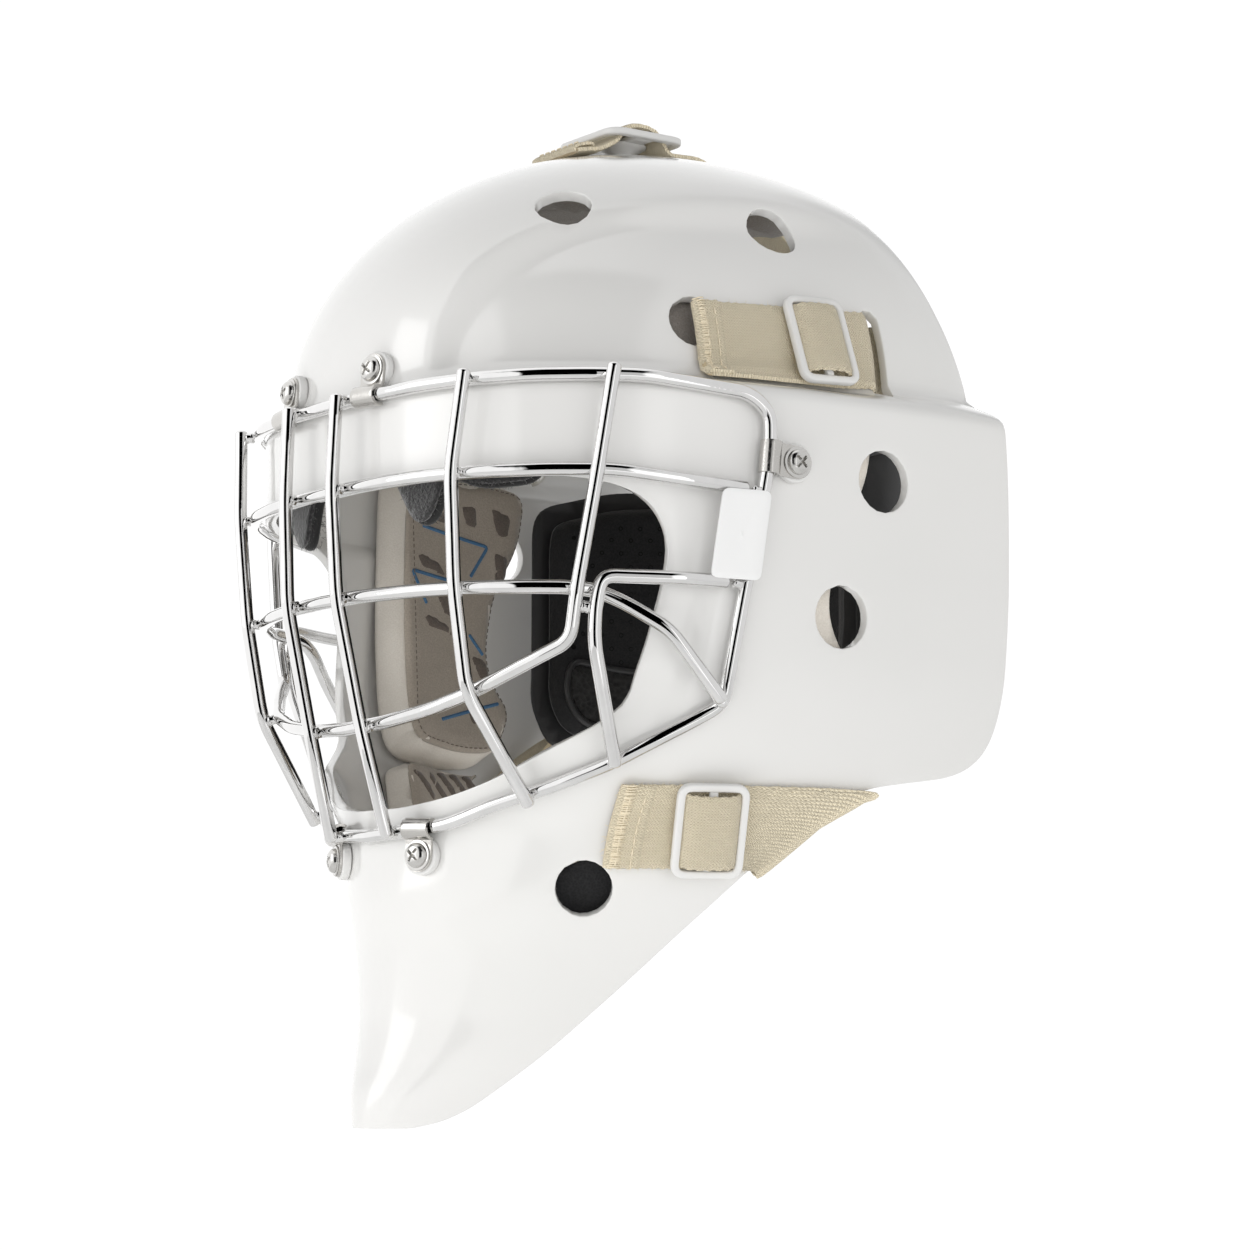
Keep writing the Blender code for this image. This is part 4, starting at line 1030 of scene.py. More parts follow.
def clip_fixing(name, hook, hole):
    """A J-clip from the wire at hook to its screw at hole, with washer, collar, screw and barrel nut."""
    out = out_at(hole)
    way = hole - hook
    way = (way - out * way.dot(out)).normalized()
    across = out.cross(way)
    reach = (hole - hook).dot(way)
    height = (hook - hole).dot(out)
    seat = WASHER_T + 3 * GAP + 0.4 + CLIP_T / 2
    radius = WIRE / 2 + CLIP_T / 2 + 0.15
    half = 5.6
    profile = [(half * math.cos(math.radians(a)), seat) for a in (4, 14, 26, 40, 56, 72)]
    profile += [(-k, seat) for k in np.linspace(0, max(reach - radius - 1.4, 0.5), 4)]
    profile.append((-(reach - radius - 0.35), seat + 0.35 * (height - seat) + 0.2))
    for k in range(15):
        angle = math.radians(-8 + 222 * k / 14)
        profile.append((-reach + radius * math.cos(angle), height + radius * math.sin(angle)))
    rows = []
    for s, h in profile:
        width = math.sqrt(max(half**2 - s**2, 0.01)) if s > 0 else 5.5
        rows.append([hole + way * s + out * max(h, 0.2) + across * width * v for v in np.linspace(-1, 1, 9)])
    clip = grid(f"{name}_j_clip", rows, STEEL)
    modify(clip, "SOLIDIFY", thickness=1.1 * MM, offset=0.0)
    modify(clip, "BEVEL", width=0.28 * MM, segments=3, limit_method="ANGLE", angle_limit=math.radians(50))
    clip = apply_all(clip, 45)
    seat_at = frame_at(hole, out, way)
    washer = revolve(f"{name}_washer_disc", disc_profile(6.6, 0.05, seat - 0.6, 0.55), seat_at, NYLON, 48)
    collar = revolve(f"{name}_screw_collar", disc_profile(5.3, seat + 0.55, seat + 1.1, 0.2), seat_at,
                     SCREW_STEEL, 48)
    turn = seat_at @ Matrix.Rotation(math.radians(20 + 31 * (len(name) % 5)), 4, "Z")
    screw = screw_head(f"{name}_screw_head", turn, 4.3, seat + 1.35, 2.3, SCREW_STEEL)
    barrel = disc_profile(5.5, -WALL - 1.5, -WALL - 0.05, 0.35)[:-2]
    barrel += [(3.1, -WALL - 1.5), (3.1, -WALL - 2.6), (2.8, -WALL - 2.9), (0, -WALL - 2.9)]
    nut = revolve(f"{name}_barrel_nut", barrel, seat_at, STEEL, 40)
    for piece, node, slot in ((clip, "clip", "steel"), (washer, "washer", "white_plastic"),
                              (screw, "screw", "steel"), (nut, "nut", "steel")):
        placed(piece, "mask", slot, (f"{name}_{node}",))
    placed(collar, "mask", "steel")


def build_clips():
    for side, tag in SIDES:
        def pair(point):
            return Vector((point.x * side, point.y, point.z))
        clip_fixing(f"brow_{tag}", pair(on_front(27, CAGE_TOP, LIFT)), pair(on_front(26.5, 75.5)))
        clip_fixing(f"chin_{tag}", pair(on_front(25.5, -78.2, LIFT)), pair(on_front(25, -87.5)))
        clip_fixing(f"temple_{tag}", pair(on_side(-26.5, 43, LIFT)), pair(on_side(-16.5, 42)))


# ---------------------------------------------------------------- straps and slide buckles
def smooth_rows(stations, per_span, weights):
    """Points of the middle layer: one row per step along the strap, one point per weight across it."""
    columns = [smooth_route([Vector(s(w)) for s in stations], per_span) for w in weights]
    return [list(row) for row in zip(*columns)]


def webbing(name, stations, body, nodes=(), per_span=6, thickness=STRAP_T):
    """A knitted strap with rounded selvedges through stations, which map -1..1 across it to points in mm."""
    wave = 0.22  # how far the selvedges wander
    inner = [0.0, 0.25, 0.5, 0.75, 0.9, 0.97]
    weights = [-w for w in inner[::-1]] + inner[1:]
    rows = smooth_rows(stations, per_span, weights)
    rings, along, travelled = [], [], 0.0
    for i, row in enumerate(rows):
        ahead = rows[min(i + 1, len(rows) - 1)]
        behind = rows[max(i - 1, 0)]
        if i:
            travelled += (row[len(row) // 2] - rows[i - 1][len(row) // 2]).length
        along.append(travelled)
        top, under = [], []
        for k, p in enumerate(row):
            side = row[min(k + 1, len(row) - 1)] - row[max(k - 1, 0)]
            n = (ahead[k] - behind[k]).cross(side).normalized()
            edge = abs(weights[k])
            t = thickness / 2 * (1 if edge < 0.8 else (0.9 if edge < 0.95 else 0.6))
            sway = side.normalized() * wave * math.sin(travelled * 1.9 + (3 if k else 0)) * (edge > 0.85)
            top.append(p + n * t + sway)
            under.append(p - n * t + sway)
        rings.append(top + under[::-1])
    count = len(rings[0])
    half = count // 2

    def uv(r, c):
        c = c % count
        w = weights[c] if c < half else weights[count - 1 - c]
        return along[r] * MM, w * STRAP / 2 * MM

    strap = grid(name, rings, KNIT, closed=True, uv=uv)
    cap_ends(strap, count, len(rings))
    strap.data.shade_smooth()
    strap.data.set_sharp_from_angle(angle=math.radians(60))
    placed(strap, body, "webbing", nodes)
    return strap


def stitches(name, path, out, body, length=2.2, gap=1.2, radius=0.28, mat=THREAD):
    """A row of thread stitches along a path of points, standing slightly out of the cloth."""
    dense = densify([Vector(p) for p in path], 0.4)
    steps = max(int(round((length + gap) / 0.4)), 2)
    run = max(int(round(length / 0.4)), 1)
    bm = bmesh.new()
    for start in range(0, len(dense) - run, steps):
        a, b = Vector(dense[start]), Vector(dense[start + run])
        n = out((a + b) / 2) if callable(out) else Vector(out)
        axis = (b - a).normalized()
        lateral = axis.cross(n).normalized()
        rings = []
        for share in (0, 0.12, 0.5, 0.88, 1):
            r = radius * (0.25 if share in (0, 1) else 1)
            centre = a.lerp(b, share) + n * (radius * (0.1 if share in (0, 1) else 0.75))
            rings.append([bm.verts.new((centre + (lateral * math.cos(t) + n * math.sin(t)) * r) * MM)
                          for t in (k * math.pi / 3 for k in range(6))])
        join_rings(bm, rings)
        bm.faces.new(rings[0])
        bm.faces.new(rings[-1])
    placed(from_bm(bm, name, mat), body, "webbing")


def swept_bar(bm, path, place, width, thick, closed):
    """A bar with a rounded-rectangle section along a flat path in the local XY plane."""
    section_ring = []
    for k in range(16):
        a = 2 * math.pi * k / 16
        c, s = math.cos(a), math.sin(a)
        section_ring.append((math.copysign(abs(c) ** 0.5, c) * width / 2,
                             math.copysign(abs(s) ** 0.5, s) * thick / 2))
    rings = []
    n = len(path)
    for i, p in enumerate(path):
        before = path[i - 1] if (i or closed) else path[i]
        after = path[(i + 1) % n] if (i + 1 < n or closed) else path[i]
        d = (after - before).normalized()
        aside = Vector((-d.y, d.x, 0))
        rings.append([bm.verts.new(place @ (p + aside * a + Vector((0, 0, b))) * MM)
                      for a, b in section_ring])
    join_rings(bm, rings, closed)
    if not closed:
        bm.faces.new(rings[0])
        bm.faces.new(rings[-1])


def rounded_box(width, height, corner, steps=6):
    a, b = width / 2, height / 2
    pts = rounded([(-a, -b), (a, -b), (a, b), (-a, b)], corner, steps)
    return [Vector((p.x, p.y, 0)) for p in pts]


SLIDER_H, SLIDER_L, SLIDER_T = 32.4, 25.0, 3.0


def buckle(name, strap, side, body):
    """The moulded slide buckle, and the strap's hump over its middle bar, which moves with it."""
    behind, middle, ahead = strap
    along = ahead(0) - behind(0)
    out = along.cross(middle(1) - middle(-1)).normalized() * side
    at = middle(0) + out * (STRAP_T / 2 + GAP + SLIDER_T / 2 + 1.0)
    place = frame_at(at, out, along)
    bm = bmesh.new()
    swept_bar(bm, rounded_box(SLIDER_L - 2.9, SLIDER_H - 2.4, 3.6), place, 2.7, SLIDER_T, True)
    bar_end = SLIDER_H / 2 - 1.6
    swept_bar(bm, [Vector((0, y, -0.1)) for y in np.linspace(-bar_end, bar_end, 8)], place, 3.0,
              SLIDER_T * 0.72, False)
    placed(from_bm(bm, name + "_frame", NYLON), body, "white_plastic", (name,))
    reach = (SLIDER_L - 2 * 2.8) / 2

    def over(x, h):
        return lambda w: place @ Vector((x, w * (SLIDER_H - 6.4) / 2 * side, h))

    base = -(SLIDER_T / 2 + GAP)
    climb = ((0.2, base - 0.4), (-0.5, base + 1.4), (-2.0, 1.5), (-4.8, 2.75))
    stations = [over(-(reach + d), h) for d, h in climb] + [over(0, 3.1)]
    stations += [over(reach + d, h) for d, h in climb[::-1]]
    webbing(name + "_strap_over", stations, body, (), 4, 2.0)


TEMPLE_LIFT = STRAP_T / 2 + 0.8
JAW_Z = -78.0
JAW_LIFT = STRAP_T / 2 + 1.0


def temple_line(y):
    return 85.5 + 3.0 * (y + 41) / 70


def jaw_edge(z):
    for (y0, z0), (y1, z1) in zip(SIDE_OUTLINE, SIDE_OUTLINE[1:]):
        if z0 <= z <= z1:
            return y0 + (y1 - y0) * (z - z0) / (z1 - z0)
    return SIDE_OUTLINE[-1][0]


def temple_over(side):
    def over(y, lift=TEMPLE_LIFT):
        return lambda w: on_side(y, temple_line(y) + w * STRAP / 2, lift, side, True)
    return over


def jaw_outer(side):
    def outer(y, lift=JAW_LIFT):
        def at(w):
            z = JAW_Z + w * STRAP / 2
            return on_side(y + (jaw_edge(z) - jaw_edge(JAW_Z)) * max(0, (y + 20) / 20), z, lift, side)
        return at
    return outer


def hem(name, over, y0, y1, body):
    """The strap's turned-back end, sewn down with two rows of thread."""
    lift = 3.1
    stations = [over(y0 - 0.9, lift - 1.6), over(y0 - 0.6, lift - 0.3)]
    stations += [over(y, lift) for y in np.linspace(y0, y1, 4)] + [over(y1 + 0.9, lift - 1.3)]
    webbing(name, stations, body, (), 3, 1.7)
    for k, y in enumerate((y0 + 1.8, y1 - 1.6)):
        path = [over(y, lift + 0.85)(w) for w in np.linspace(-0.9, 0.9, 12)]
        stitches(f"{name}_stitch_{k}", path, out_at, body)


def overlock(name, over, y_edge, y_in, body, count=44):
    """Threads whipped over the strap's cut end, with a few pulled loose."""
    rng = np.random.default_rng(count + 7)
    bm = bmesh.new()

    def thread(points, radius):
        rings = []
        for i, p in enumerate(points):
            along = (points[min(i + 1, len(points) - 1)] - points[max(i - 1, 0)]).normalized()
            n = out_at(p)
            lateral = along.cross(n).normalized()
            n = lateral.cross(along)
            rings.append([bm.verts.new((p + radius * (math.cos(t) * n + math.sin(t) * lateral)) * MM)
                          for t in (k * math.tau / 5 for k in range(5))])
        join_rings(bm, rings)
        bm.faces.new(rings[0][::-1])
        bm.faces.new(rings[-1])

    for k in range(count):
        w = -0.98 + 1.96 * (k + 0.5 + rng.uniform(-0.25, 0.25)) / count
        lean, reach = rng.uniform(0.0, 0.05), rng.uniform(-0.35, 0.35)
        thread([over(y_edge - 0.3, 1.6)(w), over(y_edge - 0.75, 2.9)(w + lean * 0.4),
                over((y_edge + y_in) / 2, 4.3)(w + lean * 0.7), over(y_in + reach, 4.05)(w + lean)], 0.28)
    for k in range(16):
        w = rng.uniform(-1.0, 1.0)
        start = over(y_edge - 0.4, rng.uniform(2.2, 3.8))(w)
        away = (over(y_edge - 2.0, 3.4)(w + rng.uniform(-0.08, 0.08)) - start) * rng.uniform(0.4, 1.3)
        droop = Vector((0, 0, rng.uniform(-0.5, 0.3)))
        thread([start, start + away * 0.5 + droop * 0.3, start + away + droop], 0.07)
    placed(from_bm(bm, name, THREAD), body, "webbing")


def edge_fuzz(name, over, lift, y0, y1, body):
    """Short loose fibres along both selvedges of the strap."""
    rng = np.random.default_rng(31)
    roots = []
    for _ in range(150):
        y, w = rng.uniform(y0, y1), rng.choice((-1.0, 1.0))
        foot = over(y, lift + rng.uniform(-0.8, 0.8))(w * 0.985)
        way = (over(y, lift)(w * 1.1) - over(y, lift)(w * 0.9)).normalized()
        roots.append((foot, way + Vector(rng.normal(0, 0.55, 3))))
    fibres(name, roots, 1.4, 0.05, KNIT_FIBRE, body, 17)


def build_side_straps():
    for side, tag in SIDES:
        over = temple_over(side)

        def inside(x, y, z):
            return lambda w: Vector((x * side, y, z + w * STRAP / 2))

        outside = [over(y) for y in (-41, -33, -24, -15, -6, 3, 12, 20, 25)]
        outside += [over(28.4, 1.2), over(31.2, -1.8), over(33.2, -6.2), over(38, -8.6)]
        inner = [over(38, -8.6), over(45, -9.2), over(52, -9.8), over(60, -12)]
        inner += [inside(x, y, 88) for x, y in ((84, 72), (72, 84), (58, 94))]
        webbing(f"temple_webbing_{tag}", outside, "mask", (f"temple_strap_{tag}",))
        tail = webbing(f"temple_webbing_inner_{tag}", inner, None)
        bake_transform(tail)
        hem(f"temple_hem_{tag}", over, -40.6, -33.5, "mask")
        overlock(f"temple_overlock_{tag}", over, -41.2, -38.4, "mask")
        edge_fuzz(f"temple_fuzz_{tag}", over, TEMPLE_LIFT, -40, 24, "mask")
        buckle(f"temple_slider_{tag}", [over(y) for y in (0, 5, 10)], side, f"temple_slider_{tag}")

        outer = jaw_outer(side)

        def past(dy, dz, lift):
            def at(w):
                z = JAW_Z + w * STRAP / 2
                return on_side(jaw_edge(z) + dy, z + dz, lift, side)
            return at

        run = [outer(y) for y in (-61, -54, -46, -38, -30, -22, -15, -8)]
        run += [past(0.6, -0.6, JAW_LIFT), past(2.8, -2.8, 0.4), past(3.4, -3.4, -3.4), past(1.4, -1.4, -7.4),
                past(0.5, 5, -7.8)]
        webbing(f"jaw_webbing_{tag}", run, "mask", (f"jaw_strap_{tag}",))
        back = [past(0.5, 5, -7.8), past(2.5, 12, -7.8), past(6, 18, -7.6), past(14, 26, -8),
                past(24, 33, -12), past(34, 38, -17)]
        tail = webbing(f"jaw_webbing_inner_{tag}", back, None)
        tuple(back[0](0) * MM)
        tuple(back[-1](0) * MM)
        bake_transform(tail)
        hem(f"jaw_hem_{tag}", outer, -60.6, -53.0, "mask")
        overlock(f"jaw_overlock_{tag}", outer, -61.2, -57.6, "mask")
        edge_fuzz(f"jaw_fuzz_{tag}", outer, JAW_LIFT, -60, -10, "mask")
        buckle(f"jaw_slider_{tag}", [outer(y) for y in (-38, -33.5, -29)], side, f"jaw_slider_{tag}")


def fibres(name, roots, length, radius, mat, body, seed):
    """Loose fibres: thin curved spikes from (root, direction) pairs."""
    rng = np.random.default_rng(seed)
    bm = bmesh.new()
    for root, way in roots:
        way = Vector(way).normalized()
        stray = Vector(rng.normal(0, 1, 3))
        side = way.cross(stray).normalized()
        reach = length * (0.4 + 0.9 * rng.random())
        rings = []
        for share in (0, 0.35, 0.7):
            centre = Vector(root) + way * reach * share + side * reach * 0.45 * share**2
            up = way.cross(side)
            r = radius * (1 - 0.75 * share)
            rings.append([bm.verts.new((centre + (side * math.cos(t) + up * math.sin(t)) * r) * MM)
                          for t in (0, 2.1, 4.2)])
        tip = bm.verts.new((Vector(root) + way * reach + side * reach * 0.5) * MM)
        join_rings(bm, rings)
        for k in range(3):
            bm.faces.new((rings[-1][k], rings[-1][(k + 1) % 3], tip))
        bm.faces.new(rings[0][::-1])
    placed(from_bm(bm, name, mat), body, "webbing" if mat is KNIT_FIBRE else "terry_fabric")


# ---------------------------------------------------------------- crown strap and bracket
CROWN_AT = (0.0, -2.0)


def build_crown():
    x, y = CROWN_AT
    foot = on_crown(x, y)
    place = frame_at(foot, (0, 0, 1), (0, 1, 0))
    height = 5.2
    level_at = place @ Matrix.Translation((0, 0, height + 1.4))
    bm = bmesh.new()
    swept_bar(bm, rounded_box(34 - 3.8, 37 - 2.8, 5.2, 8), level_at, 3.6, 2.7, True)
    swept_bar(bm, [Vector((0, v, 0)) for v in np.linspace(-16.6, 16.6, 10)], level_at, 8.6, 2.5, False)
    bracket = from_bm(bm, "crown_bracket_plate", NYLON)
    placed(bracket, "mask", "white_plastic", ("crown_bracket",))
    funnel = [(0, height + 0.6), (9.5, height + 0.6), (9.3, height + 0.1), (7.6, height - 0.9),
              (5.6, height - 1.9), (4.6, height - 2.8), (4.5, 2.3), (5.0, 2.0), (6.4, 1.8), (7.0, 1.5),
              (7.2, 1.1), (7.2, 0.6), (7.0, 0.3), (0, 0.3)]
    placed(revolve("crown_post", funnel, place, NYLON, 48), "mask", "white_plastic")

    def across(y, z):
        return lambda w: Vector((w * STRAP / 2, y, z))

    top = foot.z + height + 1.4
    def above(y, lift):
        return across(y, on_crown(0, y).z + lift)

    over = [above(-31, 1.9), above(-26, 2.0), above(-21, 2.1), across(y - 13.6, foot.z + 2.6),
            across(y - 10.2, top - 1.4), across(y - 7.6, top + 2.2), across(y - 4, top + 4.0),
            across(y, top + 4.5), across(y + 4, top + 4.0), across(y + 7.6, top + 2.2),
            across(y + 10.2, top - 1.4), across(y + 13.6, foot.z + 2.4), above(21, 2.3), above(26, 1.9),
            above(29.2, -0.2), across(31.4, on_crown(0, 31).z - 4), above(36, -8)]
    under = [above(36, -8), above(44, -8.3), above(52, -8.5), across(66, 149), across(78, 137),
             across(86.5, 124), across(89.5, 110)]
    webbing("crown_webbing", over, "mask", ("crown_strap",), 4)
    tail = webbing("crown_webbing_inner", under, None)
    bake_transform(tail)
    hem_rows = [across(-31.9, on_crown(0, -31).z + 1.0), across(-31.6, on_crown(0, -31).z + 3.0),
                above(-29, 3.9), above(-25, 4.0), above(-23.4, 3.2)]
    webbing("crown_hem", hem_rows, "mask", (), 3, 1.6)
    for k, line in enumerate((-29.6, -25.2)):
        path = [Vector((w * STRAP / 2, line, on_crown(0, line).z + 4.75)) for w in np.linspace(-0.9, 0.9, 12)]
        stitches(f"crown_hem_stitch_{k}", path, (0, 0, 1), "mask")


# ---------------------------------------------------------------- pads
PAD_LIFT = -WALL - 3.3
CHEEK_PAD = ((-42, 65), (-4, 67), (24, 64), (21, 40), (8, 20), (3, -8), (16, -28), (5, -48), (-18, -50),
             (-46, -46))
JAW_PAD = ((-48, -50.5), (-18, -54.5), (-2, -53.5), (-15, -66), (-37, -90), (-58, -84))
TEMPLE_PAD = ((-60, 81), (-30, 80.5), (4, 81), (14, 84), (14, 100), (-2, 112), (-30, 116), (-52, 108))
CHIN_PAD = ((-88, -118), (-84, -99), (-64, -88.5), (-44, -93), (-40, -106), (-56, -124), (-74, -140))


def cushion(name, outline, place, back, face, mat, edge=5.0, crown=0.0, step=4.0, rings=(0.5, 1.0, 1.6),
            dent=None, wall=0.12):
    """A padded form laid on a surface by place(a, b, lift), from its flat back to its crowned face.

    Its sides curve in over the distance edge; dent(a, b, d) presses seams and channels into the face.
    """
    outline = [(p[0], p[1]) for p in outline]
    flat = bmesh.new()
    middle = flat.faces.new([flat.verts.new((p[0], p[1], 0)) for p in outline])
    flat.normal_update()
    for ring in rings:
        bmesh.ops.inset_region(flat, faces=[middle], thickness=ring, use_even_offset=True)
    for axis in (0, 1):
        low = min(p[axis] for p in outline)
        high = max(p[axis] for p in outline)
        cut = math.ceil(low / step) * step
        while cut < high:
            where = Vector((cut, 0, 0)) if axis == 0 else Vector((0, cut, 0))
            across = Vector((1, 0, 0)) if axis == 0 else Vector((0, 1, 0))
            everything = flat.verts[:] + flat.edges[:] + flat.faces[:]
            bmesh.ops.bisect_plane(flat, geom=everything, dist=1e-3, plane_co=where, plane_no=across)
            cut += step
    flat.verts.index_update()
    a = np.array([v.co.x for v in flat.verts])
    b = np.array([v.co.y for v in flat.verts])
    d = np.maximum(inside_distance(outline, a, b), 0)
    bow = np.sqrt(1 - (1 - np.clip(d / edge, 0, 1)) ** 2)
    sign = 1 if face > back else -1
    lift = back + (face - back) * (wall + (1 - wall) * bow)
    lift += sign * crown * (1 - np.exp(-((d / max(d.max() * 0.55, 1)) ** 2)))
    if dent:
        lift -= sign * dent(a, b, d)
    bm = bmesh.new()
    front = [bm.verts.new(Vector(p) * MM) for p in place(a, b, lift)]
    rear = [bm.verts.new(Vector(p) * MM) for p in place(a, b, np.full(a.shape, back))]
    for f in flat.faces:
        corners = [v.index for v in f.verts]
        bm.faces.new([front[k] for k in corners])
        bm.faces.new([rear[k] for k in reversed(corners)])
    for e in flat.edges:
        if len(e.link_faces) == 1:
            u, v = (w.index for w in e.verts)
            bm.faces.new((front[u], front[v], rear[v], rear[u]))
    flat.free()
    return from_bm(bm, name, mat)


def drawn_in(outline, distance):
    """The outline moved inwards by distance."""
    pts = [Vector((p[0], p[1], 0)) for p in outline]
    turn = sum(a.x * b.y - b.x * a.y for a, b in zip(pts, pts[1:] + pts[:1]))
    out = []
    for k, here in enumerate(pts):
        d = (pts[(k + 1) % len(pts)] - pts[k - 1]).normalized()
        n = Vector((-d.y, d.x, 0)) * (1 if turn > 0 else -1)
        out.append(here + n * distance)
    return out


def edge_piping(name, outline, place, lift, radius, mat, body, slot, inset=0.0, step=2):
    ring = drawn_in(outline, inset) if inset else outline
    placed(rod(name, [place(p[0], p[1], lift) for p in ring[::step]], radius, mat, closed=True), body, slot)


def inset_patches(name, outlines, corner, place, back, face):
    """The small dark patches let into a pad's face, as one piece."""
    shapes = bmesh.new()
    for k, corners in enumerate(outlines):
        piece = cushion(f"{name}_{k}", rounded(corners, corner, 3), place, back, face, PAD_DARK, edge=0.5,
                        step=3.0, rings=(0.35,), wall=0.4)
        shapes.from_mesh(piece.data)
        bpy.data.objects.remove(piece)
    placed(from_bm(shapes, name, PAD_DARK), "mask", "pad_foam")


def build_side_pads():
    insets = [  # slanted recesses of the cheek pad, as y, z corners
        [(-37, 35), (-24, 31.5), (-20, 26), (-33, 28.5)], [(-27, 23), (-13, 19), (-15, 9), (-22, 12)],
        [(-35, 12), (-19, 7.5), (-16, 2.5), (-30, 5.5)], [(-29, 53), (-22, 52), (-19.5, 46.5), (-26, 47.5)],
        [(-13, 54), (-4, 55), (-3, 46), (-9, 47)], [(3, 55), (14, 53), (12, 44), (7, 44)],
        [(5, 38), (12, 36), (11, 28), (7, 24)], [(-8, -4), (0, -6), (3, -16), (-3, -14)],
        [(-12, -30), (-2, -28), (1, -33), (-9, -36)],
    ]
    lines = [[(-33, 45), (2, 39.5), (-7, 27)], [(-17, 24.5), (-39, 27), (-31, 14.5)], [(-8, 4), (-1, -4)],
             [(-27, -35), (6, -24)]]
    for side, tag in SIDES:
        def lay(y, z, lift, side=side):
            return on_side(y, z, lift, side)

        def spread(y, z, lift, side=side):
            return side_points(y, z, lift, side)

        face = PAD_LIFT - 14.6
        outline = rounded(CHEEK_PAD, 10, 6)
        base = cushion(f"cheek_cushion_{tag}", outline, spread, PAD_LIFT, face, PAD_CREAM, edge=3.6,
                       crown=0.6)
        placed(base, "mask", "pad_foam", (f"cheek_pad_{tag}",))
        cover = drawn_in(outline, 2.4)
        panel = cushion(f"cheek_panel_{tag}", cover, spread, face + 1.5, face - 1.2, PAD_TAUPE, edge=1.6,
                        step=5.0, rings=(0.4, 0.7), wall=0.3)
        placed(panel, "mask", "pad_foam", ())
        top = face - 1.35
        inset_patches(f"cheek_insets_{tag}", insets, 1.6, spread, top + 0.6, top - 0.25)
        for k, line in enumerate(lines):
            dense = densify(bend([Vector((p[0], p[1], 0)) for p in line], 2, 3), 3.0)
            piece = rod(f"cheek_line_{tag}_{k}", [lay(p[0], p[1], top + 0.35) for p in dense], 0.75, PAD_BLUE)
            placed(piece, "mask", "pad_foam")
        seam = drawn_in(cover, 1.3)
        path = [lay(p[0], p[1], face - 1.0) for p in seam + seam[:1]]
        stitches(f"cheek_seam_{tag}", path, lambda p: -out_at(p), "mask", 1.6, 0.9, 0.2, PAD_DARK)

        jaw_face = PAD_LIFT - 10.6
        jaw = rounded(JAW_PAD, 7, 6)
        base = cushion(f"jaw_cushion_{tag}", jaw, spread, PAD_LIFT, jaw_face, PAD_CREAM, edge=3.0, crown=0.5,
                       step=4.0)
        placed(base, "mask", "pad_foam", (f"jaw_pad_{tag}",))
        cover = drawn_in(jaw, 2.0)
        panel = cushion(f"jaw_panel_{tag}", cover, spread, jaw_face + 1.2, jaw_face - 1.0, PAD_TAUPE,
                        edge=1.5, step=5.0, rings=(0.4, 0.7), wall=0.3)
        placed(panel, "mask", "pad_foam", ())
        slants = []
        for y0, share in ((-47, 1), (-39.5, 1), (-32, 1), (-24.5, 0.75), (-17, 0.75)):
            slants.append([(y0, -57.5), (y0 + 4.2, -57), (y0 + 4.2 + 8 * share, -57 - 11.5 * share),
                           (y0 + 8 * share, -57.5 - 11.5 * share)])
        inset_patches(f"jaw_insets_{tag}", slants, 1.2, spread, jaw_face - 0.5, jaw_face - 1.5)

        temple = rounded(TEMPLE_PAD, 9, 5)
        pad = cushion(f"temple_cushion_{tag}", temple, spread, PAD_LIFT, PAD_LIFT - 8.6, PAD_GREY, edge=5.0,
                      crown=0.6,
                      dent=lambda a, b, d: 1.2 * np.exp(-(((a + 20) % 24 - 12) / 1.4) ** 2) * (d > 3))
        placed(pad, "mask", "pad_foam", (f"temple_pad_{tag}",))
        chin = rounded(CHIN_PAD, 8, 5)
        pad = cushion(f"chin_cushion_{tag}", chin, spread, PAD_LIFT, PAD_LIFT - 6.8, BLACK_FOAM, edge=4.0,
                      crown=0.4)
        placed(pad, "mask", "black_foam", (f"chin_pad_{tag}",))


def fleece(a, b, d):
    """A seam along the sweatband's rim and the waviness of its cloth."""
    return 0.9 * np.exp(-((d - 5.5) / 1.0) ** 2) + 0.18 * np.sin(a * 2.1) * np.sin(b * 2.3 + a)


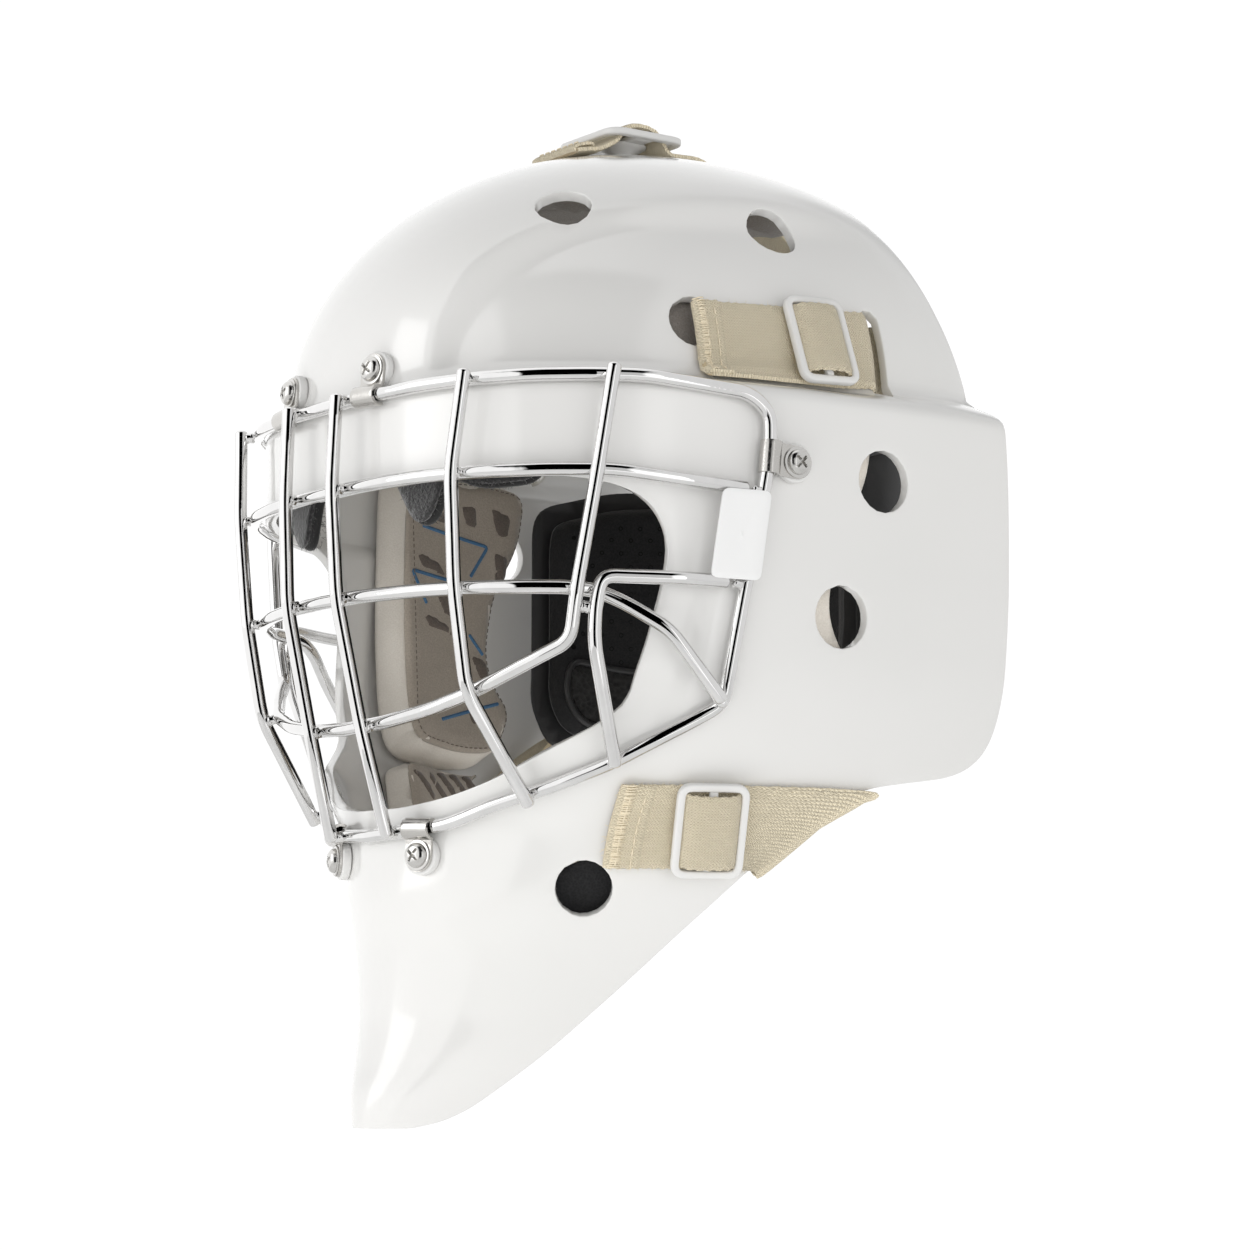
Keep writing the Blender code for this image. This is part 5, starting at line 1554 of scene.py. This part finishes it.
def build_brow_pads():
    half = [(0, 68), (56, 66), (80, 60), (87, 46), (85, 34), (66, 33), (54, 39), (45, 23), (37, 22), (26, 42),
            (0, 46)]
    band = half + [(-x, z) for x, z in half[-2:0:-1]]
    outline = rounded(band, 6, 5)
    pad = cushion("sweatband_pad", outline, front_points, PAD_LIFT, PAD_LIFT - 6.6, BLACK_FUZZ,
                  edge=4.2, crown=0.4, step=3.5, dent=fleece)
    placed(pad, "mask", "terry_fabric", ("sweatband",))
    edge_piping("sweatband_piping", outline, on_front, PAD_LIFT - 3.3, 1.7, BLACK_PIPE, "mask",
                "terry_fabric", 0.4, 1)
    roots = []
    rng = np.random.default_rng(11)
    ring = densify([Vector((p[0], p[1], 0)) for p in outline + outline[:1]], 1.0)
    low = [(p, q) for p, q in zip(ring[:-1], ring[1:]) if p[1] < 56 for _ in range(7)]
    xs, zs = np.array([p[0] for p, _ in low]), np.array([p[1] for p, _ in low])
    feet = front_points(xs, zs, PAD_LIFT - 0.6 - 6.2 * rng.random(len(low)))
    for (p, q), foot in zip(low, feet):
        d = Vector(tuple(q - p)).normalized()
        away = Vector((-d.y, 0, d.x))
        way = (away if away.z < 0 else -away) + Vector((0, 0.35, 0)) + Vector(rng.normal(0, 0.45, 3))
        roots.append((Vector(foot), way))
    fibres("sweatband_fuzz", roots, 1.7, 0.12, FUZZ_FIBRE, "mask", 5)
    crown = rounded([(-44, -58), (44, -58), (56, -20), (50, 16), (20, 18), (-20, 18), (-50, 16), (-56, -20)],
                    10, 6)
    pad = cushion("crown_cushion", crown, crown_points, PAD_LIFT - 0.5, PAD_LIFT - 9.2, PAD_GREY,
                  edge=6.0, crown=0.8,
                  dent=lambda a, b, d: 1.6 * np.exp(-(((a + 14) % 28 - 14) / 1.6) ** 2) * (d > 4))
    placed(pad, "mask", "pad_foam", ("crown_pad",))
    rear = rounded([(-46, 22), (46, 22), (50, 38), (38, 57), (-38, 57), (-50, 38)], 7, 5)
    pad = cushion("crown_rear_cushion", rear, crown_points, -11.4, -20.0, PAD_GREY, edge=5.0,
                  crown=0.5, step=5.0)
    placed(pad, "mask", "pad_foam", ())


# ---------------------------------------------------------------- backplate
PLATE_HALF, PLATE_REAR, PLATE_Y = 94.0, 104.0, 22.0


def head_curve(arc, z):
    """Point behind the head: arc is the distance round it from the mid-plane, z the height."""
    scale = 1 - 0.36 * ease(z, 45, 150) - 0.10 * ease(-z, 5, 75)
    half, rear = PLATE_HALF * scale, (PLATE_REAR - PLATE_Y) * scale
    a = np.linspace(0, math.pi / 2, 181)
    xs, ys = half * np.sin(a) ** 0.87, PLATE_Y + rear * np.cos(a) ** 0.87
    run = np.concatenate(([0], np.cumsum(np.hypot(np.diff(xs), np.diff(ys)))))
    far = abs(arc)
    if far <= run[-1]:
        x, y = float(np.interp(far, run, xs)), float(np.interp(far, run, ys))
    else:
        x, y = float(xs[-1]), float(ys[-1] - (far - run[-1]))
    return Vector((math.copysign(x, arc), y, z))


def behind_head(arc, z, out=0.0):
    """The same point moved away from the head by out."""
    round_it = head_curve(arc + 4, z) - head_curve(arc - 4, z)
    up = head_curve(arc, z + 4) - head_curve(arc, z - 4)
    return head_curve(arc, z) + up.cross(round_it).normalized() * out


PLATE_OUTLINE = (
    (16, 126), (18, 104), (48, 101), (56, 94), (56, 80), (46, 74), (22, 68), (20, 56), (44, 61), (76, 65),
    (104, 64), (134, 57), (140, 50), (140, -20), (130, -36), (100, -46), (60, -52), (24, -54),
)
LINER_OUTLINE = (
    (17, 50), (42, 55), (76, 59), (104, 58), (131, 51), (134, 44), (134, -18), (126, -31), (97, -40),
    (58, -46), (22, -48),
)
LOW_PANEL = ((30, -12), (70, -10), (104, -8), (129, -4), (131, -18), (123, -29), (96, -37), (58, -42.5),
             (30, -43))


def mirrored_outline(half, radius):
    return rounded(list(half) + [(-a, b) for a, b in half[::-1]], radius, 4)


def build_backplate():
    def lay(a, z, t):
        return behind_head(float(a), float(z), float(t))

    def spread(a, z, t):
        return [lay(*values) for values in zip(a, z, t)]

    outline = mirrored_outline(PLATE_OUTLINE, 7)
    plate = cushion("backplate_moulding", outline, spread, 0.45, 3.4, BLACK_PLATE, edge=1.4, step=5.0,
                    rings=(0.35, 0.6, 0.9), wall=0.35,
                    dent=lambda a, b, d: 0.7 * np.exp(-((d - 9) / 1.1) ** 2))
    placed(plate, "backplate", "black_plastic", ("backplate",))
    bead = [lay(p[0], p[1], 3.3) for p in drawn_in(outline, 5.2)]
    placed(rod("backplate_bead_0", bead, 1.0, BLACK_PLATE, closed=True), "backplate", "black_plastic")
    liner_outline = mirrored_outline(LINER_OUTLINE, 7)
    liner = cushion("liner_foam", liner_outline, spread, -1.9, -10.7, BLACK_FOAM, edge=3.4, crown=0.3,
                    step=4.0)
    placed(liner, "backplate", "black_foam", ("backplate_liner",))
    # the liner's perforations as shallow near-black dimples: painted shade for the inside of each hole
    pits = bmesh.new()
    row = 0
    z = -4.0
    while z < 56:
        a = -132 + (4.6 if row % 2 else 0)
        while a < 133:
            if inside_distance(liner_outline, np.array([a]), np.array([z]))[0] > 5.5:
                at = lay(a, z, -10.95)
                facing = (lay(a, z, -14) - at).normalized()
                place = frame_at(at, facing, (0, 0, 1))
                rings = []
                for r, h in ((0.95, -0.3), (0.9, 0.02), (0.7, 0.0), (0.5, -0.2)):
                    rings.append([pits.verts.new(place @ Vector((r * math.cos(t), r * math.sin(t), h)) * MM)
                                  for t in (2 * math.pi * k / 10 for k in range(10))])
                join_rings(pits, rings)
                pits.faces.new(rings[-1])
                pits.faces.new(rings[0][::-1])
            a += 9.2
        z += 5.4
        row += 1
    placed(from_bm(pits, "liner_perforations", PERFORATION_SHADE), "backplate", "black_foam")
    for side, tag in SIDES:
        panel = rounded([(a * side, b) for a, b in LOW_PANEL], 6, 5)
        raised_panel = cushion(f"liner_panel_{tag}", panel, spread, -9.6, -12.4, PANEL_BLACK, edge=2.4,
                               step=4.0, wall=0.3)
        placed(raised_panel, "backplate", "black_foam", ())
        edge_piping(f"liner_panel_rim_{tag}", panel, lay, -11.4, 1.3, BLACK_PLATE, "backplate",
                    "black_plastic", -0.3, 1)
    for k, (a, b) in enumerate(((0, 110), (62, 88), (-62, 88))):  # one pair of rivets at each strap's end
        for j, shift in enumerate((-6.5, 6.5)):
            at = lay(a + shift, b, 3.4)
            place = frame_at(at, (at - lay(a + shift, b, 0)), (0, 0, 1))
            dome = [(0, 1.5), (1.6, 1.35), (2.8, 0.9), (3.4, 0.3), (3.5, -0.3), (0, -0.3)]
            placed(revolve(f"plate_rivet_{k}_{j}", dome, place, STEEL, 28), "backplate", "steel")


# ---------------------------------------------------------------- chin cup
def build_chin_cup():
    thick = 4.6

    def sling(u, v, lift=0.0):
        across = 2 * u - 1
        drop = 1 - across**2
        y = -54 - 13 * drop + (v - 0.5) * (20 + 24 * drop)
        lip = 9 * drop * (abs(2 * v - 1) ** 2) * (1.2 if v < 0.5 else 0.4)
        return Vector((62 * across, y, -70 - 30 * drop + lip + lift))

    rings = []
    shares = np.linspace(0.02, 0.98, 15)
    for u in np.linspace(0, 1, 49):
        top, low = [], []
        for v in shares:
            edge = min(v, 1 - v)
            t = thick / 2 * math.sqrt(1 - (1 - min(edge / 0.09, 1)) ** 2) * (1 - 0.35 * abs(2 * u - 1) ** 6)
            quilting = 0.5 * math.exp(-(((u * 6) % 1 - 0.5) / 0.07) ** 2) * (edge > 0.14)
            seam = 0.7 * math.exp(-((edge - 0.13) / 0.025) ** 2) + quilting
            along = sling(min(u + 0.01, 1), v) - sling(max(u - 0.01, 0), v)
            wide = sling(u, min(v + 0.01, 1)) - sling(u, max(v - 0.01, 0))
            n = along.cross(wide).normalized()
            n = n if n.z > 0 else -n
            top.append(sling(u, v) + n * max(t - seam, 0.3))
            low.append(sling(u, v) - n * t)
        rings.append(top + low[::-1])
    cup = grid("chin_cup_padding", rings, CUP_SUEDE, closed=True)
    cap_ends(cup, len(rings[0]), len(rings))
    placed(cup, "chin_cup", "cup_leather", ("chin_cup",))
    for k, v in enumerate((0.13, 0.87)):
        path = [sling(u, v, thick / 2 - 0.55) for u in np.linspace(0.04, 0.96, 60)]
        stitches(f"chin_cup_seam_{k}", path, (0, 0, 1), "chin_cup", 2.0, 1.1, 0.25)
    for side, tag in SIDES:
        u = 0.955 if side > 0 else 0.045
        at = sling(u, 0.5)
        out = Vector((side * 0.75, 0, -0.66))
        snap = [(0, 2.1), (3.6, 2.0), (4.6, 1.6), (5.0, 1.0), (5.1, 0.4), (4.9, 0.1), (0, 0.1)]
        place = frame_at(at + out * (thick / 2 - 0.4), out, (0, 1, 0))
        placed(revolve(f"chin_snap_{tag}", snap, place, STEEL, 36), "chin_cup", "steel")


# ---------------------------------------------------------------- camera, light and floor
VIEW_AZIMUTH, VIEW_ELEVATION, VIEW_DISTANCE = 54.0, -6.58, 1.2  # degrees, degrees, metres
SENSOR_WIDTH, FOCAL_LENGTH = 36.0, 95.04
FLOOR_Z, FLOOR_RADIUS = -0.72, 2.2
LIGHTS = (  # name, place, size and power; each faces the origin
    ("key_front", (-0.5, -1.6, 0.5), (0.9, 1.2), 5.5),
    ("fill_side", (1.5, -0.4, 0.0), (0.7, 1.4), 2.0),
    ("under", (0.2, -0.6, -0.7), (0.8, 0.8), 3.0),
)
# strength of the world's light: at the horizon, added per unit of X, added per unit of height, and at least
SKY, SKY_SIDE, SKY_UP, SKY_LEAST = 1.03, 0.08, -0.94, 0.1
SHINE = 1.16  # strength of what the polished metal sees


def build_camera():
    camera = bpy.data.objects.new("camera", bpy.data.cameras.new("camera"))
    bpy.context.scene.collection.objects.link(camera)
    azimuth, elevation = math.radians(VIEW_AZIMUTH), math.radians(VIEW_ELEVATION)
    towards = Vector((math.sin(azimuth) * math.cos(elevation), -math.cos(azimuth) * math.cos(elevation),
                      math.sin(elevation)))
    camera.location = towards * VIEW_DISTANCE
    camera.rotation_euler = towards.to_track_quat("Z", "Y").to_euler()
    camera.data.sensor_width = SENSOR_WIDTH
    camera.data.lens = FOCAL_LENGTH
    camera.data.clip_start = 0.05
    camera.data.clip_end = 30.0
    bpy.context.scene.camera = camera


def area_light(name, at, size, power):
    data = bpy.data.lights.new(name, "AREA")
    data.shape = "RECTANGLE"
    data.size, data.size_y = size
    data.energy = power
    light = bpy.data.objects.new(name, data)
    bpy.context.scene.collection.objects.link(light)
    light.location = at
    light.rotation_euler = Vector(at).to_track_quat("Z", "Y").to_euler()
    return light


def build_studio():
    world = bpy.data.worlds.new("studio")
    bpy.context.scene.world = world
    world.use_nodes = True
    tree = world.node_tree
    sky = tree.nodes["Background"]
    direction = tree.nodes.new("ShaderNodeTexCoord").outputs["Generated"]
    parts = tree.nodes.new("ShaderNodeSeparateXYZ")
    tree.links.new(direction, parts.inputs["Vector"])
    # soft light from the sides and below, much less from overhead
    x, y, z = (parts.outputs[axis] for axis in "XYZ")
    up = times(tree, mathn(tree, "MAXIMUM", z, 0.0), SKY_UP)
    soft = mathn(tree, "MAXIMUM", add(tree, add(tree, up, times(tree, x, SKY_SIDE)), SKY), SKY_LEAST)
    # what the polished metal sees: white walls, a dark gap where the camera stands, a greyer right-hand wall
    sine, cosine = 0.809, 0.588  # of the camera's azimuth
    towards = add(tree, times(tree, x, sine), times(tree, y, -cosine))
    aside = add(tree, times(tree, x, cosine), times(tree, y, sine))
    height = add(tree, times(tree, z, 0.5), 0.5)
    white, black, grey = (1.0,) * 3, (0.0,) * 3, (0.72,) * 3
    gap = ramp(tree, mathn(tree, "ABSOLUTE", aside), ((0.40, white), (0.46, black)))
    gap_near = ramp(tree, towards, ((0.28, black), (0.36, white)))
    gap_low = ramp(tree, height, ((0.16, black), (0.20, white)))
    shade = ramp(tree, add(tree, times(tree, aside, 0.5), 0.5), ((0.58, white), (0.68, grey), (1.0, grey)))
    far = ramp(tree, times(tree, towards, -1.0), ((0.64, black), (0.72, white)))
    strip = ramp(tree, aside, ((0.22, black), (0.27, white), (0.58, white), (0.63, black)))
    dark = times(tree, times(tree, gap.outputs["Color"], gap_near.outputs["Color"]), gap_low.outputs["Color"])
    edge = times(tree, times(tree, far.outputs["Color"], strip.outputs["Color"]), 0.3)
    open_share = mathn(tree, "SUBTRACT", 1.0, mathn(tree, "MAXIMUM", dark, edge))
    mixed = times(tree, times(tree, open_share, shade.outputs["Color"]), SHINE)
    shown = tree.nodes.new("ShaderNodeLightPath")
    glossy = shown.outputs["Is Glossy Ray"]
    either = add(tree, times(tree, mixed, glossy), times(tree, soft, mathn(tree, "SUBTRACT", 1.0, glossy)))
    whole = mathn(tree, "MAXIMUM", either, times(tree, shown.outputs["Is Camera Ray"], 1.05))
    tree.links.new(whole, sky.inputs["Strength"])
    sky.inputs["Color"].default_value = (1, 1, 1, 1)
    for light in LIGHTS:
        made = area_light(*light)
    made.visible_glossy = False  # the light below the mask is not to be seen in the wires
    bm = bmesh.new()
    bmesh.ops.create_circle(bm, cap_ends=True, segments=96, radius=FLOOR_RADIUS)
    paper = moulded("floor_paper", (0.84, 0.84, 0.83), (0.87, 0.87, 0.86), 0.6)
    set_inputs(paper.node_tree.nodes["Principled BSDF"], Emission_Color=(1, 1, 1, 1), Emission_Strength=0.36)
    floor = from_bm(bm, "floor", paper)
    floor.location = (0, 0, FLOOR_Z)
    bpy.context.scene.view_settings.view_transform = "Standard"


build_camera()
build_studio()
build_shell()
build_cage()
build_label()
build_clips()
build_side_straps()
build_crown()
build_side_pads()
build_brow_pads()
build_backplate()
build_chin_cup()

# ---------------------------------------------------------------- end
bpy.context.view_layer.update()
